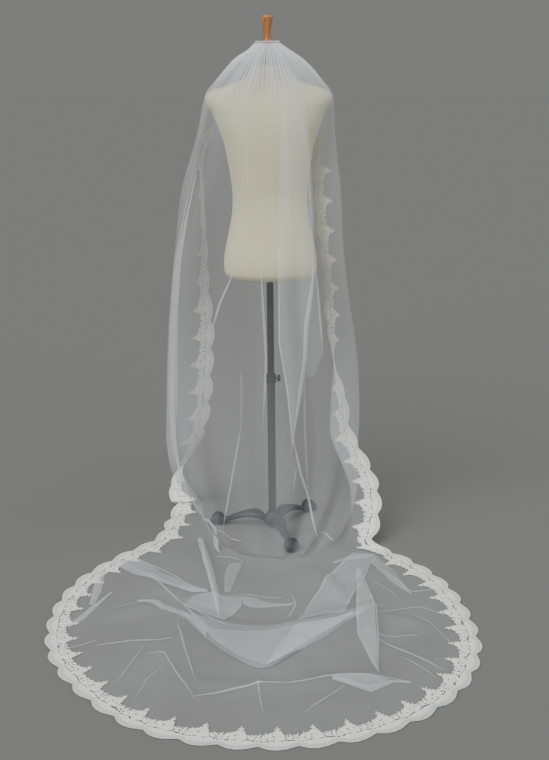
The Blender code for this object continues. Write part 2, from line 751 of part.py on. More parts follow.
touch_left = edge_length[landed] - trim_start
touch_right = edge_length[len(edge_points) - 1 - landed] - trim_start
corner_left = edge_length[last_row] - trim_start
corner_right = edge_length[last_row + last_column] - trim_start
middle_front = (corner_left + corner_right) / 2
breaks = [0] + [round(v / repeat) for v in (touch_left, corner_left, middle_front, corner_right, touch_right)]
breaks.append(repeat_count)
LACE_NAMES = ("lace_left_fall", "lace_left_train", "lace_end_left", "lace_end_right",
              "lace_right_train", "lace_right_fall")
for name, first, stop in zip(LACE_NAMES, breaks, breaks[1:]):
    lace_run(name, first, stop)


# The dress form


def form_ring(half_width, back, front, z):
    """One section of the form: a rounded oval, flatter at the shoulders."""
    ring = []
    for k in range(FORM_SIDES):
        a = 2 * math.pi * k / FORM_SIDES
        c, s = math.cos(a), math.sin(a)
        x = half_width * math.copysign(abs(c)**(2 / FORM_SQUARENESS), c)
        reach = front if s > 0 else back
        ring.append((x + FORM_SHIFT, reach * math.copysign(abs(s)**(2 / FORM_SQUARENESS), s), z))
    return ring


def dress_form():
    """The padded torso, closed at the neck and the hip."""
    rings = [form_ring(half, back, front, z) for z, half, back, front in FORM]
    return loft("form_torso", rings, jersey_finish, 50)


dress_form()
neck_top = FORM[0][0] + SEAM_GAP
turned("form_neck_cap", (
    (CAP_RADIUS, neck_top),
    (CAP_RADIUS, neck_top + CAP_HEIGHT * 0.55),
    (CAP_RADIUS * 0.90, neck_top + CAP_HEIGHT * 0.80),
    (CAP_RADIUS * 0.62, neck_top + CAP_HEIGHT),
)[::-1], cap_finish)
finial_foot = neck_top + CAP_HEIGHT + SEAM_GAP
FINIAL_PROFILE = (
    (.0165, .000), (.0175, .004), (.0165, .009), (.0125, .012), (.0118, .030), (.0128, .045),
    (.0152, .062), (.0172, .074), (.0172, .080), (.0150, .0835), (.0090, .085),
)
turned("form_finial", [(r, finial_foot + z) for r, z in FINIAL_PROFILE][::-1], wood_finish)


# The stand

form_bottom = FORM[-1][0]
turned("stand_pole", (
    (POLE_RADIUS, form_bottom - SEAM_GAP),
    (POLE_RADIUS, CLAMP_HEIGHT + 0.016 + SEAM_GAP),
), black_finish)
turned("stand_clamp", (
    (POLE_RADIUS + 0.0025, CLAMP_HEIGHT + 0.016),
    (TUBE_RADIUS + 0.0035, CLAMP_HEIGHT + 0.013),
    (TUBE_RADIUS + 0.0035, CLAMP_HEIGHT - 0.013),
    (TUBE_RADIUS + 0.0005, CLAMP_HEIGHT - 0.016),
), black_finish)
turned("stand_tube", (
    (TUBE_RADIUS, CLAMP_HEIGHT - 0.016 - SEAM_GAP),
    (TUBE_RADIUS, HUB_TOP + SEAM_GAP),
), black_finish)
turned("stand_hub", (
    (TUBE_RADIUS + 0.003, HUB_TOP),
    (TUBE_RADIUS + 0.006, HUB_TOP - 0.006),
    (HUB_RADIUS, HUB_TOP - 0.014),
    (HUB_RADIUS, HUB_TOP - 0.038),
    (HUB_RADIUS * 0.6, HUB_TOP - 0.044),
), iron_finish, 18)


def clamp_knob():
    """The clamp's thumb knob, a short stem and a round head that point to +X."""
    clamp_side = TUBE_RADIUS + 0.0035 + SEAM_GAP
    profile = ((.004, clamp_side), (.004, KNOB_REACH - 0.012), (.010, KNOB_REACH - 0.011),
               (.0115, KNOB_REACH - 0.006), (.010, KNOB_REACH))
    sides = 14
    rings = [[(x, r * math.cos(2 * math.pi * k / sides), CLAMP_HEIGHT + r * math.sin(2 * math.pi * k / sides))
              for k in range(sides)] for r, x in profile]
    return loft("stand_knob", rings, black_finish)


clamp_knob()

# A leg's sections: distance from the axis, top, bottom and half width
LEG_COLUMNS = ("out", "top", "low", "half_width")
LEG = (
    (HUB_RADIUS + 0.0006, .050, .024, .0125),
    (.055, .060, .036, .0250),
    (.080, .058, .036, .0230),
    (.110, .050, .030, .0165),
    (.140, .038, .020, .0120),
    (.160, .029, .011, .0100),
    (.172, .030, .003, .0150),
    (.184, .038, .000, .0225),
    (.200, .040, .000, .0250),
    (.214, .032, .000, .0215),
    (.222, .018, .004, .0130),
)


def leg(name, degrees):
    """One cast leg that arches from the hub to a round scrolled foot."""
    a = math.radians(degrees)
    out = np.array([math.sin(a), -math.cos(a), 0.0])
    over = np.array([math.cos(a), math.sin(a), 0.0])
    up = np.array([0.0, 0.0, 1.0])
    rings = []
    for reach, top, low, half in LEG:
        middle_height, half_height = (top + low) / 2, (top - low) / 2
        ring = []
        for across_share, up_share in ((1, -.55), (1, .35), (.55, .90), (0, 1), (-.55, .90), (-1, .35),
                                       (-1, -.55), (-.6, -1), (.6, -1)):
            ring.append(out * reach + over * half * across_share + up * (middle_height + half_height * up_share))
        rings.append(ring)
    return loft(name, rings, iron_finish)


for number, turn in enumerate((LEG_TURN, LEG_TURN + 120, LEG_TURN - 120), 1):
    leg(f"stand_leg_{number}", turn)
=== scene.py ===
import math

import bmesh
import bpy
import numpy as np
from mathutils import Matrix, Vector
from mathutils.bvhtree import BVHTree


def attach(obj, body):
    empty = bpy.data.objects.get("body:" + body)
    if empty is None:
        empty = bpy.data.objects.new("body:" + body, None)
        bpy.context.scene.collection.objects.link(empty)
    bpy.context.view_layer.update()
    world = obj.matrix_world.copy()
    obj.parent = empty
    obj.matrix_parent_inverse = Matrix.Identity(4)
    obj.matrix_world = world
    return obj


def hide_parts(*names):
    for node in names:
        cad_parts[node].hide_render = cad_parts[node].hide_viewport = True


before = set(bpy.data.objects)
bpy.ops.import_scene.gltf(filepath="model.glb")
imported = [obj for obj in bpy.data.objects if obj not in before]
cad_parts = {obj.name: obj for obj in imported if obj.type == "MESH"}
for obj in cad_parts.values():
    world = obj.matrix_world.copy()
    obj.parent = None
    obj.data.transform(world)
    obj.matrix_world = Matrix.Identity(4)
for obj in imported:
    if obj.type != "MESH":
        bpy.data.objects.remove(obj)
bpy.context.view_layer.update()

# The stand's axis. Every table below is measured from it, in metres.
POLE = np.array([0.0365, 0.5275, 0.0])

# The veil's hanging sections, from the heading down to the floor
HANG_COLUMNS = ("z", "left", "right", "back", "front", "side_l", "side_r",
                "wrap_l", "wrap_r", "strip", "turn_l", "turn_r")
HANG = (
    (1.617, .038, .038, .038, .038, .000, .000, 95, 95, .008, 0, 0),
    (1.600, .056, .062, .056, .050, .000, .000, 98, 98, .014, 0, 0),
    (1.577, .093, .098, .072, .066, .000, .000, 100, 100, .024, 0, 0),
    (1.540, .131, .140, .085, .082, .000, .000, 103, 103, .040, 0, 0),
    (1.500, .168, .174, .094, .095, .000, .000, 106, 106, .058, 0, 0),
    (1.477, .189, .195, .100, .103, .000, .000, 108, 108, .068, 0, 0),
    (1.447, .2015, .2060, .108, .112, .000, .000, 109, 110, .078, 0, 0),
    (1.400, .2110, .2090, .122, .126, .000, .000, 110, 112, .088, 7, -7),
    (1.365, .218, .2100, .131, .135, .000, .000, 111, 113, .090, 14, -14),
    (1.270, .240, .213, .143, .150, .005, .000, 113, 108, .090, 30, -23),
    (1.137, .274, .219, .153, .160, .010, .000, 123, 104, .090, 42, -27),
    (1.009, .297, .226, .167, .162, .020, .000, 128, 103, .090, 44, -24),
    (0.811, .323, .247, .192, .162, .030, .000, 126, 108, .090, 25, -12),
    (0.675, .336, .266, .208, .164, .035, .000, 125, 117, .090, 8, 10),
    (0.537, .345, .281, .223, .168, .040, .000, 123, 130, .090, 0, 55),
    (0.395, .351, .287, .238, .172, .050, .000, 121, 134, .090, 0, 95),
    (0.287, .352, .282, .250, .178, .070, .000, 114, 132, .090, 0, 105),
    (0.200, .340, .277, .261, .190, .100, -.028, 103, 117, .090, 15, 103),
    (0.130, .317, .272, .271, .205, .135, -.055, 96, 96, .090, 42, 93),
    (0.075, .288, .266, .281, .220, .166, -.085, 91, 82, .090, 68, 76),
    (0.030, .265, .262, .292, .230, .190, -.100, 88, 65, .090, 88, 55),
)
FLUTE_COLUMNS = ("top_place", "low_place", "half_width", "depth", "top", "low")
FLUTES = (
    (-.78, -.84, .075, .016, 1.40, .05),
    (-.60, -.62, .070, -.014, 1.35, .05),
    (-.42, -.45, .075, .018, 1.30, .00),
    (-.17, -.27, .065, .020, 1.05, .00),
    (-.04, -.06, .050, -.014, 1.25, .10),
    (.08, .11, .055, .022, 1.10, .00),
    (.22, .24, .050, -.016, 1.10, .00),
    (.34, .33, .060, .020, 1.25, .00),
    (.55, .52, .070, -.015, 1.35, .00),
    (.76, .72, .075, .016, 1.38, .04),
)
# The train's outline at the crests of the lace
OUTLINE = (
    (-.353, .205), (-.378, .060), (-.402, -.080), (-.513, -.221), (-.618, -.396), (-.658, -.610),
    (-.625, -.835), (-.489, -1.061), (-.321, -1.212), (-.136, -1.274), (.030, -1.286), (.180, -1.262),
    (.371, -1.168), (.521, -.994), (.577, -.835), (.580, -.640), (.533, -.415), (.440, -.258), (.370, -.178),
)
LEFT_CORNER = 7
RIGHT_CORNER = 13
SCALLOP_DEPTH = 0.014
TRAIN_FOLD_COLUMNS = ("place", "front_edge", "back_edge")
TRAIN_FOLD = (
    (-1.00, -.560, -.640),
    (-.55, -.560, -.615),
    (-.40, -.600, -.612),
    (-.28, -.700, -.640),
    (-.10, -.860, -.690),
    (.02, -.930, -.705),
    (.14, -.860, -.680),
    (.30, -.740, -.640),
    (.45, -.640, -.605),
    (.58, -.575, -.600),
    (1.00, -.560, -.640),
)
RIDGE_COLUMNS = ("x0", "y0", "x1", "y1", "height", "half_width")
RIDGES = (
    (-.240, -.170, -.190, -.560, .018, .030),
    (-.440, -.330, -.270, -.520, .014, .028),
    (-.500, -.640, -.330, -.560, .012, .028),
    (-.330, -.880, -.230, -.700, .010, .028),
    (-.260, -.990, .030, -1.020, .010, .030),
    (.060, -1.010, .330, -.950, .012, .030),
    (.270, -.860, .300, -.560, .016, .028),
    (.300, -.640, .470, -.720, .012, .028),
    (.120, -.330, .210, -.540, .016, .030),
    (.310, -.330, .440, -.470, .012, .028),
    (-.060, -.360, -.080, -.600, .010, .030),
)

# Creases pressed into the cloth: where it lies, width in mm, density and points. A point is
# x and depth on the floor, and x and height on the back of the hanging cloth.
CREASES = (
    ("back", 6, .55, ((-.112, .945), (-.120, .918), (-.157, .840), (-.187, .744))),
    ("back", 7, .42, ((-.030, .980), (-.026, .917), (-.020, .793), (-.014, .663), (-.020, .557), (-.026, .450))),
    ("back", 6, .45, ((-.090, .480), (-.114, .352), (-.132, .258), (-.155, .139), (-.165, .080))),
    ("back", 9, .16, ((-.094, .640), (-.092, .560), (-.096, .450))),
    ("back", 5, .55, ((.024, 1.02), (.028, .920), (.028, .719), (.053, .562), (.062, .456), (.067, .387), (.055, .332))),
    ("back", 13, .60, ((.137, 1.00), (.135, .914), (.113, .761), (.109, .657), (.084, .509), (.067, .403))),
    ("back", 7, .40, ((.140, .960), (.150, .880), (.159, .762), (.166, .676))),
    ("back", 7, .26, ((.108, .640), (.106, .581), (.107, .435), (.113, .297), (.120, .200))),
    ("back", 7, .55, ((.067, .430), (.072, .403), (.093, .297), (.115, .220), (.131, .137), (.141, .100), (.160, .045))),
    ("back", 4, .35, ((.080, .330), (.072, .280), (.068, .240))),
    ("back", 6, .45, ((.147, .100), (.207, .045))),
    ("back", 5, .55, ((-.229, 1.24), (-.285, .950), (-.299, .793), (-.305, .635), (-.311, .468), (-.325, .298))),
    ("back", 5, .50, ((-.230, 1.26), (-.311, .941), (-.336, .717), (-.353, .425), (-.338, .292))),
    ("back", 5, .25, ((-.060, 1.42), (-.066, 1.30), (-.062, 1.12), (-.055, .96))),
    ("back", 5, .22, ((.045, 1.45), (.060, 1.30), (.064, 1.12), (.070, .96))),
    ("back", 6, .25, ((.100, 1.43), (.118, 1.30), (.128, 1.15), (.134, 1.02))),
    ("back", 13, .60, ((-.336, .292), (-.307, .216), (-.292, .145), (-.249, .088), (-.210, .075))),
    ("back", 11, .60, ((-.240, .110), (-.211, .112), (-.190, .087), (-.185, .050))),
    ("back", 4, .40, ((-.190, .084), (-.150, .080), (-.095, .072))),
    ("floor", 9, .60, ((-.205, -.100), (-.187, -.188), (-.170, -.230))),
    ("floor", 8, .50, ((-.235, -.110), (-.226, -.281), (-.186, -.486), (-.156, -.660))),
    ("floor", 4, .40, ((-.187, -.240), (-.130, -.262), (-.096, -.290))),
    ("floor", 6, .30, ((-.096, -.290), (-.115, -.370), (-.130, -.490))),
    ("floor", 4, .30, ((-.139, -.290), (-.150, -.380), (-.147, -.483))),
    ("floor", 5, .40, ((-.490, -.262), (-.405, -.372), (-.279, -.553), (-.198, -.654), (-.122, -.719))),
    ("floor", 6, .40, ((-.516, -.238), (-.434, -.258), (-.347, -.343), (-.207, -.504))),
    ("floor", 4, .35, ((-.272, -.562), (-.234, -.514), (-.084, -.529), (.022, -.537), (.056, -.500))),
    ("floor", 5, .40, ((.056, -.500), (.069, -.582), (.038, -.680))),
    ("floor", 6, .45, ((.275, -.219), (.187, -.380), (.079, -.660))),
    ("floor", 6, .45, ((.334, -.263), (.283, -.411), (.205, -.630))),
    ("floor", 5, .45, ((.283, -.411), (.306, -.593), (.295, -.779), (.279, -.960))),
    ("floor", 4, .40, ((.283, -.411), (.257, -.504), (.240, -.766), (.279, -.960))),
    ("floor", 5, .40, ((.305, -.290), (.380, -.410), (.423, -.500), (.480, -.486), (.515, -.490))),
    ("floor", 4, .35, ((.305, -.642), (.376, -.614), (.443, -.596), (.504, -.646))),
    ("floor", 4, .35, ((.292, -.775), (.415, -.766))),
    ("floor", 8, .40, ((.292, -.800), (.373, -.860), (.455, -.945))),
    ("floor", 4, .35, ((.349, -.885), (.391, -.928), (.430, -.990))),
    ("floor", 4, .30, ((.400, -.640), (.454, -.690), (.486, -.771), (.506, -.830))),
    ("floor", 5, .40, ((-.120, -1.045), (-.008, -1.013), (.070, -1.002), (.159, -.990), (.244, -.981), (.354, -1.000))),
    ("floor", 9, .28, ((.160, -.998), (.200, -1.010), (.250, -1.026), (.289, -1.009))),
    ("floor", 5, .35, ((.192, -1.016), (.132, -1.076), (.077, -1.136))),
    ("floor", 7, .42, ((-.205, -1.062), (-.149, -1.050), (-.106, -1.039), (.018, -1.007))),
    ("floor", 5, .42, ((-.345, -.850), (-.296, -.854), (-.245, -.977), (-.203, -1.062))),
    ("floor", 4, .35, ((-.354, -.790), (-.385, -.904), (-.413, -1.005))),
    ("floor", 4, .35, ((-.574, -.815), (-.497, -.775))),
    ("floor", 6, .40, ((-.492, -.800), (-.400, -.782), (-.280, -.778))),
    ("floor", 5, .45, ((-.280, -.645), (-.268, -.726), (-.231, -.876), (-.201, -1.000))),
    ("floor", 4, .35, ((-.045, -.965), (-.033, -1.073), (-.023, -1.146))),
    ("floor", 4, .28, ((-.290, -.905), (-.330, -.974), (-.354, -1.070))),
    ("floor", 4, .35, ((-.584, -.672), (-.544, -.588), (-.493, -.490))),
    ("floor", 5, .30, ((-.548, -.582), (-.546, -.460), (-.520, -.330))),
    ("floor", 4, .25, ((-.470, -.590), (-.400, -.560), (-.340, -.556))),
    ("floor", 4, .25, ((.310, -.420), (.360, -.500), (.380, -.560))),
)

# Places where a second and third layer of the cloth lie folded over: where, density, swell in mm
# and the points of its two long edges
LAYERS = (
    ("back", .19, 5, ((.022, 1.590), (.040, 1.538), (.043, 1.421), (.035, 1.275), (.027, 1.095), (.028, .920),
                      (.028, .719), (.053, .562), (.062, .456), (.067, .390)),
     ((.060, 1.578), (.099, 1.537), (.116, 1.420), (.130, 1.272), (.140, 1.090), (.135, .914),
      (.113, .761), (.109, .657), (.084, .509), (.069, .390))),
    ("back", .12, 3, ((.140, .980), (.135, .900), (.116, .760), (.112, .680), (.110, .600)),
     ((.146, .980), (.150, .900), (.159, .762), (.166, .676), (.140, .600))),
    ("back", .41, 4, ((-.228, 1.230), (-.280, 1.040), (-.310, .940), (-.334, .717), (-.349, .425), (-.336, .300),
                      (-.318, .215)),
     ((-.226, 1.230), (-.268, 1.040), (-.286, .940), (-.305, .717), (-.318, .425), (-.320, .300), (-.312, .215))),
    ("floor", .36, 6, ((-.520, -.240), (-.438, -.240), (-.345, -.364), (-.260, -.441), (-.199, -.503)),
     ((-.493, -.302), (-.421, -.379), (-.340, -.452), (-.273, -.477), (-.199, -.507))),
    ("floor", .27, 6, ((-.407, -.542), (-.353, -.540), (-.300, -.580), (-.242, -.647), (-.180, -.735)),
     ((-.406, -.548), (-.340, -.585), (-.279, -.621), (-.240, -.677), (-.190, -.769))),
    ("floor", .30, 6, ((-.266, -.572), (-.239, -.519), (-.203, -.517), (-.087, -.535), (-.091, -.570)),
     ((-.262, -.580), (-.225, -.618), (-.195, -.645), (-.141, -.680), (-.093, -.585))),
    ("floor", .27, 4, ((-.087, -.537), (-.052, -.542), (-.003, -.562), (.062, -.573)),
     ((-.090, -.575), (-.066, -.595), (-.003, -.585), (.062, -.577))),
    ("floor", .26, 5, ((.260, -.229), (.201, -.338), (.138, -.497), (.072, -.685)),
     ((.339, -.236), (.311, -.319), (.275, -.411), (.246, -.508), (.210, -.640))),
    ("floor", .33, 6, ((.263, -.351), (.259, -.471), (.243, -.647), (.240, -.758), (.255, -.856), (.278, -.967)),
     ((.281, -.353), (.294, -.459), (.303, -.567), (.295, -.702), (.289, -.807), (.280, -.967))),
    ("floor", .24, 5, ((.341, -.245), (.384, -.341), (.423, -.508)),
     ((.318, -.289), (.336, -.368), (.382, -.457), (.421, -.514))),
    ("floor", .24, 4, ((.195, -.290), (.230, -.262), (.280, -.236), (.335, -.232)),
     ((.197, -.298), (.235, -.290), (.285, -.266), (.333, -.240))),
    ("floor", .30, 4, ((.155, -.988), (.207, -.976), (.277, -.986), (.313, -.999), (.359, -1.001)),
     ((.155, -1.003), (.200, -1.019), (.253, -1.044), (.312, -1.006), (.359, -1.005))),
    ("floor", .42, 7, ((-.256, -.104), (-.238, -.220), (-.216, -.336), (-.183, -.510), (-.157, -.668)),
     ((-.236, -.105), (-.214, -.220), (-.194, -.321), (-.162, -.513), (-.153, -.668))),
    ("floor", .21, 4, ((-.140, -.300), (-.148, -.353), (-.149, -.495)),
     ((-.100, -.300), (-.116, -.354), (-.131, -.495))),
    ("floor", .42, 5, ((-.560, -.360), (-.556, -.460), (-.552, -.560)),
     ((-.538, -.312), (-.527, -.461), (-.536, -.575))),
    ("floor", .39, 4, ((-.600, -.688), (-.570, -.630), (-.545, -.570), (-.496, -.483)),
     ((-.588, -.694), (-.550, -.642), (-.526, -.575), (-.490, -.478))),
    ("floor", .26, 3, ((-.272, -.566), (-.172, -.727), (-.116, -.741), (-.039, -.748), (.038, -.721), (.151, -.681),
                       (.219, -.654), (.300, -.600)),
     ((-.268, -.580), (-.212, -.700), (-.158, -.800), (-.092, -.880), (-.022, -.928), (.019, -.893), (.120, -.793),
      (.217, -.676), (.298, -.603))),
    ("floor", .40, 5, ((-.017, -.918), (.011, -.838), (.067, -.705), (.151, -.680), (.219, -.650)),
     ((-.016, -.925), (.046, -.862), (.078, -.822), (.181, -.712), (.238, -.645))),
)

# One repeat of the lace, in mm: how far its scallop stands out from the tulle's edge
LACE_REPEAT = 0.098
LACE_START_HEIGHT = 1.37
SCALLOP = ((0, 0), (12, 7), (24, 12), (36, 14), (49, 14), (58, 13), (78, 7), (98, 0))
# Its leaves and petals: along, in from the edge, half length, half width and turn in degrees
LEAVES = (
    (48, 75, 5.5, 2.3, 90), (43, 69, 4.6, 2.4, 150), (53, 69, 4.6, 2.4, 30), (48, 67, 5.5, 3.4, 90),
    (48, 60, 5.5, 4.6, 0), (41, 58, 5.5, 3.4, 140), (55, 58, 5.5, 3.4, 50), (48, 53, 8.0, 5.0, 0),
    (36, 53, 5.5, 3.4, 150), (59, 51, 4.8, 3.2, 25), (31, 49, 6.0, 3.6, 140), (40, 47, 8.0, 4.2, 0),
    (54, 46, 8.0, 4.4, 0), (25, 47, 4.6, 2.8, 150), (27, 43, 7.0, 3.6, 0), (62, 42, 6.0, 3.4, 10),
    (18, 49, 4.8, 2.1, 92), (15, 45, 3.8, 2.0, 140), (21, 45, 3.8, 2.0, 40), (18, 42, 5.5, 3.2, 90),
    (10, 41, 4.5, 2.6, 110), (3, 46, 4.6, 2.0, 88), (1, 42, 4.5, 2.8, 100), (72, 41, 4.5, 2.6, 80),
    (80, 43, 4.4, 2.4, 95), (86, 41, 4.6, 2.6, 60), (94, 42, 4.4, 2.4, 120),
)
# Its small flowers: along, in from the edge, reach of a petal and number of petals
FLOWERS = ((12, 30, 7.0, 5), (29, 34, 7.5, 6), (47, 36, 9.0, 6), (62, 33, 7.0, 5), (80, 33, 7.5, 6), (95, 31, 6.0, 5))
# Its eyelets: along, in from the edge, half length, half width and turn
EYELETS = (
    (5, 19, 3.6, 2.2, -30), (14, 18, 2.6, 1.9, 20), (22, 20, 3.8, 2.3, 25), (31, 22, 3.2, 2.1, 15), (38, 21, 3.0, 1.9, -10),
    (58, 21, 3.2, 2.0, 10), (66, 23, 4.4, 2.5, 20), (75, 24, 4.6, 2.7, -5), (84, 22, 4.4, 2.5, -25), (92, 20, 3.4, 2.2, -35),
    (70, 31, 3.4, 2.1, 35), (88, 30, 3.6, 2.2, -30), (20, 31, 2.8, 1.9, 60), (38, 30, 2.6, 1.8, 100), (4, 29, 2.6, 1.9, 80),
)

ACROSS_STRIP = 10
ACROSS_BODY = 156
HANG_ROWS = 150
GATHERS = 46


def as_columns(rows, names):
    """A table's columns by name."""
    return {name: np.array([row[k] for row in rows], float) for k, name in enumerate(names)}


def smooth_through(xs, ys, x):
    """Value at x of a smooth curve through the points, with its ends held."""
    order = np.argsort(xs)
    xs, ys = xs[order], ys[order]
    slopes = np.gradient(ys, xs)
    x = np.clip(x, xs[0], xs[-1])
    k = np.clip(np.searchsorted(xs, x) - 1, 0, len(xs) - 2)
    step = xs[k + 1] - xs[k]
    t = (x - xs[k]) / step
    a, b = ys[k], ys[k + 1]
    ma, mb = slopes[k] * step, slopes[k + 1] * step
    return ((2 * t**3 - 3 * t**2 + 1) * a + (t**3 - 2 * t**2 + t) * ma
            + (3 * t**2 - 2 * t**3) * b + (t**3 - t**2) * mb)


def ease(x):
    """0 below 0, 1 above 1, and a soft step between."""
    x = np.clip(x, 0.0, 1.0)
    return x * x * (3 - 2 * x)


def unit(v):
    """Vectors of length 1."""
    return v / np.maximum(np.linalg.norm(v, axis=-1, keepdims=True), 1e-12)


def along_line(points, count):
    """A polyline's points, spread evenly along it."""
    points = np.asarray(points, float)
    length = np.concatenate([[0], np.cumsum(np.linalg.norm(np.diff(points, axis=0), axis=1))])
    at = np.linspace(0, length[-1], count)
    return np.stack([np.interp(at, length, points[:, a]) for a in range(points.shape[1])], axis=1)


def resample(points, shares):
    """Points at the given shares of a polyline's length."""
    length = np.concatenate([[0], np.cumsum(np.linalg.norm(np.diff(points, axis=0), axis=1))])
    at = np.asarray(shares) * length[-1]
    return np.stack([np.interp(at, length, points[:, a]) for a in range(points.shape[1])], axis=1)


# The cloth's form

hang = as_columns(HANG, HANG_COLUMNS)
flutes = as_columns(FLUTES, FLUTE_COLUMNS)
ridges = as_columns(RIDGES, RIDGE_COLUMNS)
fold = as_columns(TRAIN_FOLD, TRAIN_FOLD_COLUMNS)
chance = np.random.default_rng(7)


def section_points(z, places):
    """The hanging section at one height, before its folds."""
    size = {name: float(smooth_through(hang["z"], hang[name], z)) for name in HANG_COLUMNS[1:]}
    left = places < 0
    wrap = np.radians(np.where(left, size["wrap_l"], size["wrap_r"]))
    reach = np.where(left, size["left"], size["right"])
    side = np.where(left, size["side_l"], size["side_r"])
    angle = np.abs(places) * wrap
    depth = np.where(angle < math.pi / 2, side + size["back"], np.maximum(size["front"] - side, 0.01))
    row = np.stack([np.sign(places) * reach * np.sin(angle), side - depth * np.cos(angle)], axis=1)
    return size, row


GATHER_PHASE = np.cumsum(0.75 + 0.5 * chance.random(GATHERS + 1))
GATHER_PHASE = (GATHER_PHASE - GATHER_PHASE[0]) / (GATHER_PHASE[-1] - GATHER_PHASE[0]) * 2 - 1
GATHER_SIZE = 0.5 + chance.random(GATHERS + 1)


def hanging_row(z):
    """All points across the cloth at one height, left edge first."""
    places = np.linspace(-1, 1, ACROSS_BODY + 1)
    size, row = section_points(z, places)
    along = unit(np.gradient(row, axis=0))
    out = np.stack([along[:, 1], -along[:, 0]], axis=1)
    fall = 1 - ease((z - HANG[-1][0]) / (HANG[0][0] - HANG[-1][0]))
    push = np.zeros(len(places))
    for k in range(len(FLUTES)):
        place = flutes["top_place"][k] + (flutes["low_place"][k] - flutes["top_place"][k]) * fall
        ends = ease((flutes["top"][k] - z) / 0.25) * ease((z - flutes["low"][k]) / 0.12 + 0.25)
        push += flutes["depth"][k] * ends * np.exp(-((places - place) / flutes["half_width"][k])**2)
    phase = np.interp(places, GATHER_PHASE, np.arange(GATHERS + 1))
    height = np.interp(places, GATHER_PHASE, GATHER_SIZE)
    tight = ease((z - 1.44) / 0.14)
    push += 0.0032 * tight * height * np.sin(2 * math.pi * phase) * ease((1 - np.abs(places)) / 0.05)
    loose = ease((1.56 - z) / 0.1) * ease((z - 0.05) / 0.3)
    push += 0.0016 * loose * np.sin(17 * places + 2.1 * np.sin(3 * z)) * np.sin(6.3 * places + 1.7 * z)
    row = row + out * push[:, None]
    left = strip_points(row[0], unit(row[0] - row[1]), size["strip"], -size["turn_l"])
    right = strip_points(row[-1], unit(row[-1] - row[-2]), size["strip"], size["turn_r"])
    flat = np.concatenate([left[::-1], row, right])
    return np.column_stack([flat, np.full(len(flat), z)])


def strip_points(start, heading, width, turn):
    """Points of the plain hem strip that leaves the section, turned by an angle."""
    angle = -math.radians(turn)
    c, s = math.cos(angle), math.sin(angle)
    heading = np.array([c * heading[0] - s * heading[1], s * heading[0] + c * heading[1]])
    return np.array([start + heading * width * k / ACROSS_STRIP for k in range(1, ACROSS_STRIP + 1)])


def curve_through(points, count_per_span):
    """A smooth curve through points, sampled evenly inside each span."""
    points = np.asarray(points, float)
    t = np.concatenate([[0], np.cumsum(np.linalg.norm(np.diff(points, axis=0), axis=1))])
    fine = np.concatenate([np.linspace(t[k], t[k + 1], count_per_span, endpoint=False)
                           for k in range(len(t) - 1)] + [[t[-1]]])
    return np.stack([smooth_through(t, points[:, a], fine) for a in (0, 1)], axis=1)


SPAN_SAMPLES = 12
crest_line = curve_through(OUTLINE, SPAN_SAMPLES)
crest_along = unit(np.gradient(crest_line, axis=0))
edge_line = crest_line + SCALLOP_DEPTH * np.stack([-crest_along[:, 1], crest_along[:, 0]], axis=1)
left_edge = edge_line[:LEFT_CORNER * SPAN_SAMPLES + 1]
front_edge = edge_line[LEFT_CORNER * SPAN_SAMPLES:RIGHT_CORNER * SPAN_SAMPLES + 1]
right_edge = edge_line[RIGHT_CORNER * SPAN_SAMPLES:][::-1]

heights = np.concatenate([np.linspace(1.617, 1.45, 34, endpoint=False),
                          np.linspace(1.45, 0.20, HANG_ROWS - 62, endpoint=False),
                          np.linspace(0.20, 0.03, 28)])
hanging = np.array([hanging_row(z) for z in heights])
column_count = hanging.shape[1]
touch = hanging[-1][:, :2]
touch_step = np.concatenate([[0], np.cumsum(np.linalg.norm(np.diff(touch, axis=0), axis=1))])
across = 0.5 * touch_step / touch_step[-1] + 0.5 * np.linspace(0, 1, column_count)
front_points = resample(front_edge, across)


def train_point(share):
    """The flat train at one share of its length, for every column."""
    share = np.broadcast_to(np.asarray(share, float), across.shape)
    left = resample(np.vstack([touch[:1], left_edge[1:]]), share)
    right = resample(np.vstack([touch[-1:], right_edge[1:]]), share)
    s, a = share[:, None], across[:, None]
    sides = (1 - a) * left + a * right
    ends = (1 - s) * touch + s * front_points
    corners = ((1 - a) * (1 - s) * touch[0] + a * (1 - s) * touch[-1]
               + (1 - a) * s * front_points[0] + a * s * front_points[-1])
    return sides + ends - corners


def share_at_depth(depth):
    """For every column, the share of the train's length where it reaches a depth."""
    tries = np.linspace(0.02, 0.995, 120)
    depths = np.array([train_point(t)[:, 1] for t in tries])
    return np.array([np.interp(-depth[i], -depths[:, i], tries) for i in range(column_count)])


TRAIN_LENGTH = 1.05
FOLD_STEP = 0.0055
place_across = 2 * across - 1
fold_front = share_at_depth(smooth_through(fold["place"], fold["front_edge"], place_across))
fold_back = share_at_depth(smooth_through(fold["place"], fold["back_edge"], place_across))
overlap = (fold_front - fold_back) * TRAIN_LENGTH
fold_middle = (fold_front + fold_back) / 2
lapped = overlap > 0.004
fold_front = np.where(lapped, fold_front, fold_middle + 0.002)
fold_back = np.where(lapped, fold_back, fold_middle - 0.002)
fold_open = ease((overlap + 0.035) / 0.05)


